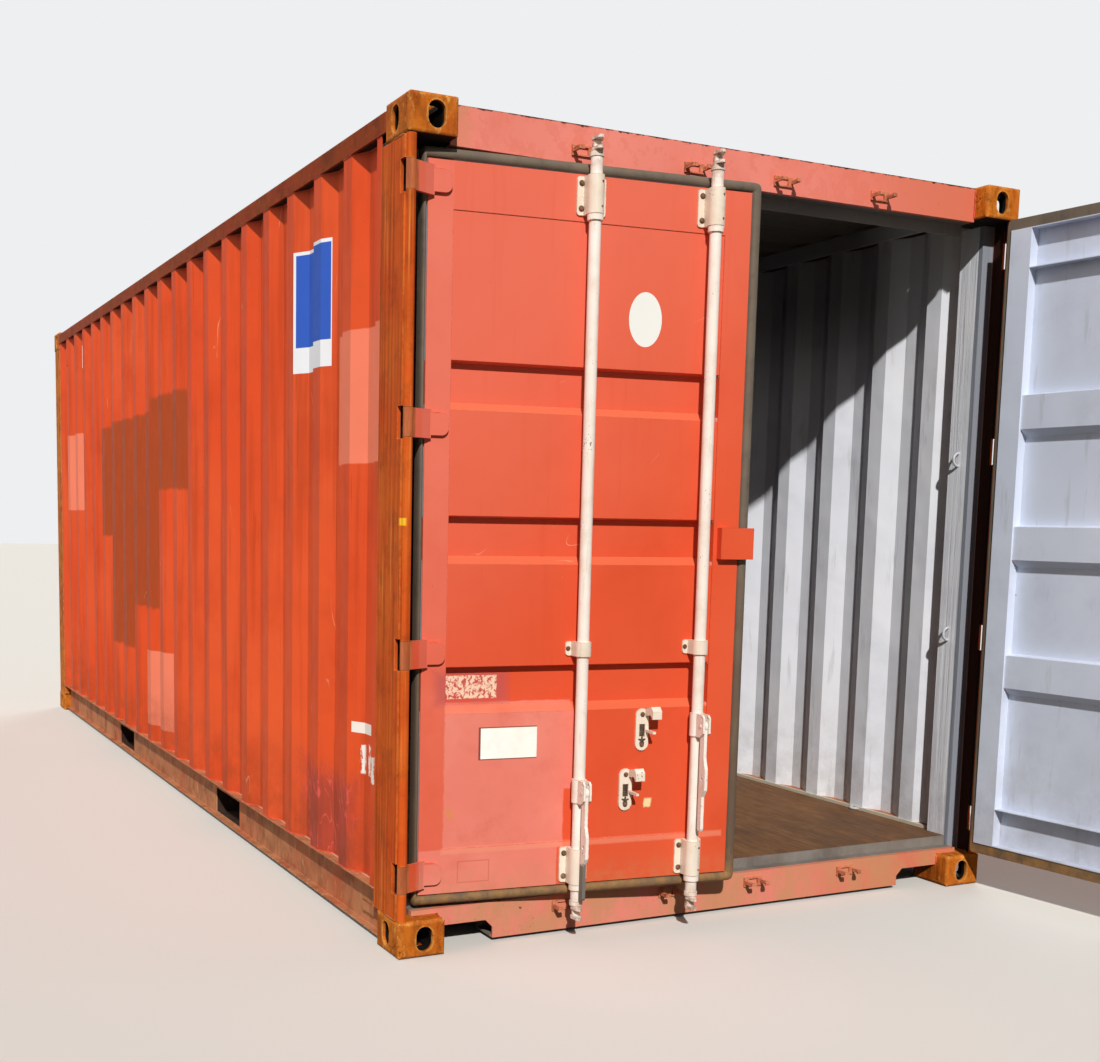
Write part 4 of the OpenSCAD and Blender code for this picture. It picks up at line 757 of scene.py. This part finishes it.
def makePiece(name, points, faces, material, body, smoothAngle=40):
    mesh = bpy.data.meshes.new(name)
    mesh.from_pydata(points.reshape(-1, 3).tolist(), [], faces.tolist())
    shape = bmesh.new()
    shape.from_mesh(mesh)
    bmesh.ops.remove_doubles(shape, verts=shape.verts, dist=1e-5)
    bmesh.ops.dissolve_degenerate(shape, edges=shape.edges, dist=1e-6)
    bmesh.ops.recalc_face_normals(shape, faces=shape.faces)
    shape.to_mesh(mesh)
    shape.free()
    mesh.polygons.foreach_set("use_smooth", np.ones(len(mesh.polygons), bool))
    mesh.set_sharp_from_angle(angle=math.radians(smoothAngle))
    mesh.materials.append(material)
    piece = bpy.data.objects.new(name, mesh)
    scene.collection.objects.link(piece)
    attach(piece, body)
    return piece


# bolt heads of the lock gear

boltHeads = {"washer": 0.0092, "head": 0.0074, "height": 0.0065, "sides": 18, "crown": 0.3,
             "bracketAcross": 0.034, "bracketUp": 0.038, "bracketLevels": (2.3565, 0.2505),
             "dotAcross": 0.012, "dotUp": 0.037, "dotOut": 3.0245, "strapAcross": 0.037, "strapLevel": 0.957, "retainerUp": 0.050,
             "retainers": ((-0.419, 0.487), (-0.365, 0.685))}


def turnedHeads(centres, normals, scales):
    # S(u, v) = centre + scale * (r(v) (cos u a + sin u b) + h(v) n), a and b square to n
    look = boltHeads
    w, r, h = look["washer"], look["head"], look["height"]
    radius = np.array([0.0, w, w, r * 1.05, r, r * 0.86, r * 0.5, 0.0])
    rise = np.array([-0.001, -0.001, 0.0018, 0.0024, h * 0.6, h * 0.86, h * 0.97, h])
    turn = np.linspace(0, 2 * math.pi, look["sides"], endpoint=False)
    n = np.array(normals, float)
    a = np.cross(n, [0.0, 0.0, 1.0])
    a /= np.linalg.norm(a, axis=1)[:, None]
    b = np.cross(n, a)
    ring = np.cos(turn)[None, None, :, None] * a[:, None, None] + np.sin(turn)[None, None, :, None] * b[:, None, None]
    local = ring * radius[None, :, None, None] + rise[None, :, None, None] * n[:, None, None]
    points = np.array(centres)[:, None, None] + local * np.array(scales)[:, None, None, None]
    faces = gridFaces(len(radius), look["sides"], wrapCols=True)
    step = len(radius) * look["sides"]
    return points, (faces[None] + np.arange(len(n))[:, None, None] * step).reshape(-1, 4)


def gearBolts(right):
    look = boltHeads
    spots, scales = [], []
    for y in place["rods"].values():
        for middle in look["bracketLevels"]:
            for dy in (-look["bracketAcross"], look["bracketAcross"]):
                for dz in (-look["bracketUp"], look["bracketUp"]):
                    spots.append((2.970, y + dy, middle + dz))
                    scales.append(1.0)
            for dz in (-look["dotUp"], look["dotUp"]):
                spots.append((look["dotOut"], y + look["dotAcross"], middle + dz))
                scales.append(0.35)
        for dy in (-look["strapAcross"], look["strapAcross"]):
            spots.append((2.967, y + dy, look["strapLevel"]))
            scales.append(0.85)
    for y, z in look["retainers"]:
        for dz in (-look["retainerUp"], look["retainerUp"]):
            spots.append((2.967, y, z + dz))
            scales.append(0.9)
    normals = np.tile(np.array(doorOut(right)), (len(spots), 1))
    return turnedHeads(onDoor(np.array(spots), right), normals, scales)


for side, right in (("left", False), ("right", True)):
    points, faces = gearBolts(right)
    makePiece(side + "GearBolts", points, faces, boltSteel, side + "_door")
print("bolt heads made")

# slatted slot plates and star springs of the handle retainers

catchShape = {"slotWidth": 0.0196, "slotLow": -0.0235, "slotHigh": 0.0175, "slats": 7, "slatRise": 0.0014,
              "face": 2.9633, "starDrop": 0.036, "starRadius": 0.0105, "starArms": 5, "starRise": 0.0045,
              "starFace": 2.9668}


def slatPlate(y, z):
    # S(u, v) = (face + rise * |sin(slats pi v)| * round(u), y + width u, low + (high - low) v), backed by a flat
    look = catchShape
    v = np.linspace(0, 1, look["slats"] * 6 + 1)
    u = np.array([-0.5, -0.5, -0.42, 0.0, 0.42, 0.5, 0.5])
    lift = np.array([-1.0, 0.0, 1.0, 1.0, 1.0, 0.0, -1.0])
    ripple = np.abs(np.sin(look["slats"] * math.pi * v))
    x = np.where(lift[None] < 0, look["face"] - 0.001, look["face"] + look["slatRise"] * ripple[:, None] * lift[None])
    points = np.stack([x, y + look["slotWidth"] * u[None] + 0 * v[:, None],
                       z + look["slotLow"] + (look["slotHigh"] - look["slotLow"]) * v[:, None] + 0 * u[None]], -1)
    # the first and last rows drop to the back, which closes the ends
    points[0, :, 0] = points[-1, :, 0] = look["face"] - 0.001
    return points, gridFaces(len(v), len(u), wrapCols=True)


def starSpring(y, z):
    # S(u, v) = centre + v R (1 + 0.42 cos(arms u)) (cos u, sin u), raised by rise (1 - v^2), flat at the back
    look = catchShape
    u = np.linspace(0, 2 * math.pi, look["starArms"] * 6, endpoint=False)
    v = np.array([0.0, 0.35, 0.7, 0.95, 1.0, 0.95, 0.0])
    rise = np.array([1.0, 0.85, 0.5, 0.3, 0.0, -0.2, -0.2]) * look["starRise"]
    r = look["starRadius"] * (1 + 0.42 * np.cos(look["starArms"] * u))[None] * v[:, None]
    points = np.stack([look["starFace"] + rise[:, None] + 0 * r, y + r * np.cos(u + 0.3),
                       z - look["starDrop"] + r * np.sin(u + 0.3)], -1)
    return points, gridFaces(len(v), len(u), wrapCols=True)


catchSteel = simpleSurface("darkCatchSteel", (74, 60, 50), (104, 88, 72), (40, 32, 28), 40, 0.55, 300, 0.0002, 0.3, 0.3)
for side, right in (("left", False), ("right", True)):
    total, faces, count = [], [], 0
    for y, z in boltHeads["retainers"]:
        for maker in (slatPlate, starSpring):
            p, f = maker(y, z)
            total.append(p.reshape(-1, 3))
            faces.append(f + count)
            count += len(total[-1])
    makePiece(side + "RetainerCatches", onDoor(np.concatenate(total), right), np.concatenate(faces), catchSteel,
              side + "_door", 50)
print("retainer catches made")

# rubber seals round the doors

sealShape = {"bottom": 0.184, "top": 2.422, "edge": 1.134, "hinge": 0.017, "level": 0.038,
             "back": 2.923, "front": 2.9668, "corner": 10,
             "profile": [(0.0, 0.0), (0.0, 0.42), (0.03, 0.62), (0.10, 0.78), (0.20, 0.90), (0.34, 0.98),
                         (0.50, 1.0), (0.66, 0.98), (0.80, 0.90), (0.90, 0.78), (0.97, 0.60), (1.0, 0.38),
                         (1.0, 0.0)]}


def sealRing(meet, meetWidth):
    # S(s, t) = inner path(s) + w(t) * width(s) * outward(s), at depth back + d(t) * (front - back)
    look = sealShape
    y0, y1, z0, z1 = -look["edge"], meet, look["bottom"], look["top"]
    left, right, flat = look["hinge"], meetWidth, look["level"]
    inner, offset = [], []
    corners = [((y0, z0), (-left, -flat)), ((y1, z0), (right, -flat)), ((y1, z1), (right, flat)),
               ((y0, z1), (-left, flat))]
    turn = np.linspace(0, math.pi / 2, look["corner"])
    for k, (spot, wide) in enumerate(corners):
        start = math.pi + k * math.pi / 2
        # the outer edge rounds each corner on a superellipse of exponent 4
        c, s = np.cos(start + turn), np.sin(start + turn)
        shrink = (np.abs(c) ** 4 + np.abs(s) ** 4) ** -0.25
        inner.append(np.tile(spot, (len(turn), 1)))
        offset.append(np.stack([c * shrink * abs(wide[0]), s * shrink * abs(wide[1])], -1))
    inner, offset = np.concatenate(inner), np.concatenate(offset)
    w, d = np.array(look["profile"]).T
    yz = inner[:, None] + w[None, :, None] * offset[:, None]
    x = look["back"] + d * (look["front"] - look["back"])
    points = np.concatenate([np.broadcast_to(x[None, :, None], yz.shape[:2] + (1,)), yz], -1)
    return points, gridFaces(len(inner), len(w), wrapRows=True, wrapCols=True)


for side, right, meet, wide in (("left", False, -0.031, 0.042), ("right", True, -0.042, 0.012)):
    points, faces = sealRing(meet, wide)
    ring = makePiece(side + "SealRing", onDoor(points, right), faces, rubber, side + "_door", 55)
    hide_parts(side + "_door_seal")
print("seals made")

# weld beads

weldShape = {"radius": 0.0035, "ripple": 0.18, "pitch": 0.009, "step": 0.006, "around": 6}


def bead(path, up, radius=None):
    # S(s, u) = path(s) + r(s) (cos u side + sin u up), r rippled along s and closed at both ends
    look = weldShape
    radius = radius or look["radius"]
    p, up = np.array(path, float), np.array(up, float)
    length = np.concatenate([[0], np.cumsum(np.linalg.norm(np.diff(p, axis=0), axis=1))])
    s = np.linspace(0, length[-1], max(int(length[-1] / look["step"]), 6))
    line = np.stack([np.interp(s, length, p[:, k]) for k in range(3)], -1)
    tangent = np.gradient(line, axis=0)
    tangent /= np.linalg.norm(tangent, axis=1)[:, None]
    side = np.cross(tangent, up)
    side /= np.linalg.norm(side, axis=1)[:, None]
    ends = np.sqrt(np.clip(1 - np.abs(2 * s / s[-1] - 1) ** 40, 0, 1))
    r = radius * ends * (1 + look["ripple"] * np.sin(2 * math.pi * s / look["pitch"]))
    u = np.linspace(0, 2 * math.pi, look["around"], endpoint=False)
    points = line[:, None] + r[:, None, None] * (np.cos(u)[None, :, None] * side[:, None] + np.sin(u)[None, :, None] * up)
    return points, gridFaces(len(s), look["around"], wrapCols=True)


def beadSet(name, paths, material, body):
    total, faces, count = [], [], 0
    for path, up, radius in paths:
        p, f = bead(path, up, radius)
        total.append(p.reshape(-1, 3))
        faces.append(f + count)
        count += total[-1].shape[0]
    makePiece(name, np.concatenate(total), np.concatenate(faces), material, body, 80)


def wallLine(z, sideSign):
    # outer line of the corrugated side sheet at height z
    x0, x1, depth, count = -2.836, 2.818, 0.036, 20
    pitch = (x1 - x0) / count
    flat, slope = pitch * 0.255, pitch * 0.245
    start = x0 + pitch * np.arange(count) + flat / 2
    x = np.stack([start, start + slope, start + slope + flat, start + 2 * slope + flat], -1).ravel()
    y = np.tile([0.0, depth, depth, 0.0], count)
    x, y = np.concatenate([[x0 + 0.004], x, [x1 - 0.004]]), np.concatenate([[0], y, [0]])
    return np.stack([x, sideSign * (1.216 - y), np.full(len(x), z)], -1)


redPaths, rustPaths = [], []
for s in (-1, 1):
    redPaths.append((wallLine(0.1815, s), (0, 0, 1), 0.0022))
    redPaths.append((wallLine(2.5095, s), (0, 0, 1), 0.0022))
    rustPaths.append(([(2.722, s * 1.2165, 0.1185), (2.822, s * 1.2165, 0.1185)], (0, 0, 1), 0.003))
    for z in (0.1185, 2.4725):
        rustPaths.append(([(2.915, s * 1.2185, z), (2.998, s * 1.2185, z)], (0, 0, 1), 0.0025))
    redPaths.append(([(2.970, s * 1.056, 2.475), (2.970, s * 1.056, 2.582)], (1, 0, 0), 0.004))
    redPaths.append(([(2.970, s * 1.056, 0.078), (2.970, s * 1.056, 0.116)], (1, 0, 0), 0.004))
    rustPaths.append(([(2.850, s * 1.2175, 2.5722), (2.853, s * 1.160, 2.5722)], (0, 0, 1), 0.003))
beadSet("wallWelds", redPaths, weldRed, "container")
beadSet("frameWelds", rustPaths, weldRust, "container")


def bladeWelds(right):
    # a bead round the foot of each hinge blade, where it lies on the door frame
    foot = np.array([(-1.124, -0.034), (-1.084, -0.034), (-1.064, -0.018), (-1.0595, 0.0), (-1.064, 0.018),
                     (-1.084, 0.034), (-1.124, 0.034)])
    paths = []
    for z in (0.250, 0.9476, 1.6463, 2.358):
        path = np.column_stack([np.full(len(foot), 2.9655), foot[:, 0], foot[:, 1] + z])
        paths.append((onDoor(path, right), doorOut(right), 0.0028))
    return paths


for side, right in (("left", False), ("right", True)):
    beadSet(side + "BladeWelds", bladeWelds(right), weldRed, side + "_door")
print("welds made")

# screws in the floor boards

floorScrews = {"radius": 0.006, "across": 9, "rows": [-2.6, -2.2, -1.8, -1.35, -0.85, -0.37, 0.0, 0.37, 0.85,
                                                      1.35, 1.8, 2.2, 2.6], "top": 0.168}


def flatScrews():
    # S(u, v) = spot + (r(v) cos u, r(v) sin u, h(v)) for a countersunk head
    look = floorScrews
    x, y = np.meshgrid(look["rows"], np.linspace(-1.12, 1.12, look["across"]), indexing="ij")
    y = np.where(np.abs(y) < 0.02, 0.03, y)
    spots = np.stack([x.ravel(), y.ravel(), np.full(x.size, look["top"])], -1)
    spots = spots[(spots[:, 0] > -2.8)]
    r = look["radius"] * np.array([0.0, 1.0, 1.0, 0.6, 0.0])
    h = np.array([-0.0005, -0.0005, 0.0006, 0.0009, 0.0009])
    u = np.linspace(0, 2 * math.pi, 8, endpoint=False)
    local = np.stack([r[:, None] * np.cos(u), r[:, None] * np.sin(u), np.broadcast_to(h[:, None], (5, 8))], -1)
    points = spots[:, None, None] + local[None]
    faces = gridFaces(5, 8, wrapCols=True)
    return points, (faces[None] + np.arange(len(spots))[:, None, None] * 40).reshape(-1, 4)


points, faces = flatScrews()
makePiece("floorScrews", points, faces, boltSteel, "container")
print("floor screws made")

# floor, light and camera

stageLook = {"floor": (226, 224, 220), "ground": (78, 78, 64), "sky": (238, 239, 241), "fill": 0.13,
             "lamps": {"key": {"from": (0.759, -0.326, 0.564), "strength": 3.8, "angle": 1.5},
                       "side": {"from": (-0.25, -0.90, 0.35), "strength": 0.85, "angle": 60},
                       "rear": {"from": (-0.66, 0.66, 0.35), "strength": 1.3, "angle": 40}}}


def makeStage():
    mesh = bpy.data.meshes.new("stageFloor")
    mesh.from_pydata([(-60, -60, 0), (60, -60, 0), (60, 60, 0), (-60, 60, 0)], [], [(0, 1, 2, 3)])
    floor = bpy.data.objects.new("stageFloor", mesh)
    scene.collection.objects.link(floor)
    material, tree, shader, vector, normal = newMaterial("paleFloor")
    rays = addNode(tree, "LightPath").outputs
    seen = calc(tree, "MAXIMUM", calc(tree, "MAXIMUM", rays["Is Camera Ray"], rays["Is Glossy Ray"]),
                rays["Is Transmission Ray"])
    dress(tree, shader, mix(tree, seen, paint(*stageLook["ground"]), paint(*stageLook["floor"])), 0.9)
    mesh.materials.append(material)
    world = bpy.data.worlds.new("studio")
    world.use_nodes = True
    tree = world.node_tree
    tree.nodes.clear()
    output = tree.nodes.new("ShaderNodeOutputWorld")
    fill = addNode(tree, "Background", {"Color": (1, 1, 1, 1), "Strength": stageLook["fill"]})
    pale = addNode(tree, "Background", {"Color": paint(*stageLook["sky"]), "Strength": 1.0})
    rays = addNode(tree, "LightPath").outputs
    seen = calc(tree, "MAXIMUM", calc(tree, "MAXIMUM", rays["Is Camera Ray"], rays["Is Glossy Ray"]),
                rays["Is Transmission Ray"])
    chooser = addNode(tree, "MixShader", {0: seen, 1: fill.outputs[0], 2: pale.outputs[0]})
    tree.links.new(chooser.outputs[0], output.inputs[0])
    scene.world = world
    for name, look in stageLook["lamps"].items():
        lamp = bpy.data.lights.new(name, "SUN")
        lamp.energy = look["strength"]
        lamp.angle = math.radians(look["angle"])
        lamp.color = (1.0, 0.97, 0.92)
        sun = bpy.data.objects.new(name, lamp)
        scene.collection.objects.link(sun)
        sun.rotation_mode = "QUATERNION"
        sun.rotation_quaternion = Vector(look["from"]).to_track_quat("Z", "Y")


makeStage()

# camera fitted to the casting corners: place, right and forward directions
cameraLook = {"place": (6.7380, -2.8445, 1.3527), "right": (0.42468777, 0.90519582, 0.01615002),
              "forward": (-0.89856199, 0.42361998, -0.11459693), "lens": 44.152,
              "shift": (0.1013, 0.1331)}


def makeCamera():
    data = bpy.data.cameras.new("view")
    data.sensor_fit = "HORIZONTAL"
    data.sensor_width = 36.0
    data.lens = cameraLook["lens"]
    data.shift_x, data.shift_y = cameraLook["shift"]
    data.clip_start, data.clip_end = 0.05, 200.0
    camera = bpy.data.objects.new("view", data)
    right = Vector(cameraLook["right"]).normalized()
    forward = Vector(cameraLook["forward"]).normalized()
    up = right.cross(forward).normalized()
    turn = Matrix((right, up, -forward)).transposed()
    camera.matrix_world = Matrix.Translation(cameraLook["place"]) @ turn.to_4x4()
    scene.collection.objects.link(camera)
    scene.camera = camera


makeCamera()
scene.view_settings.view_transform = "Standard"
print("stage and camera set")
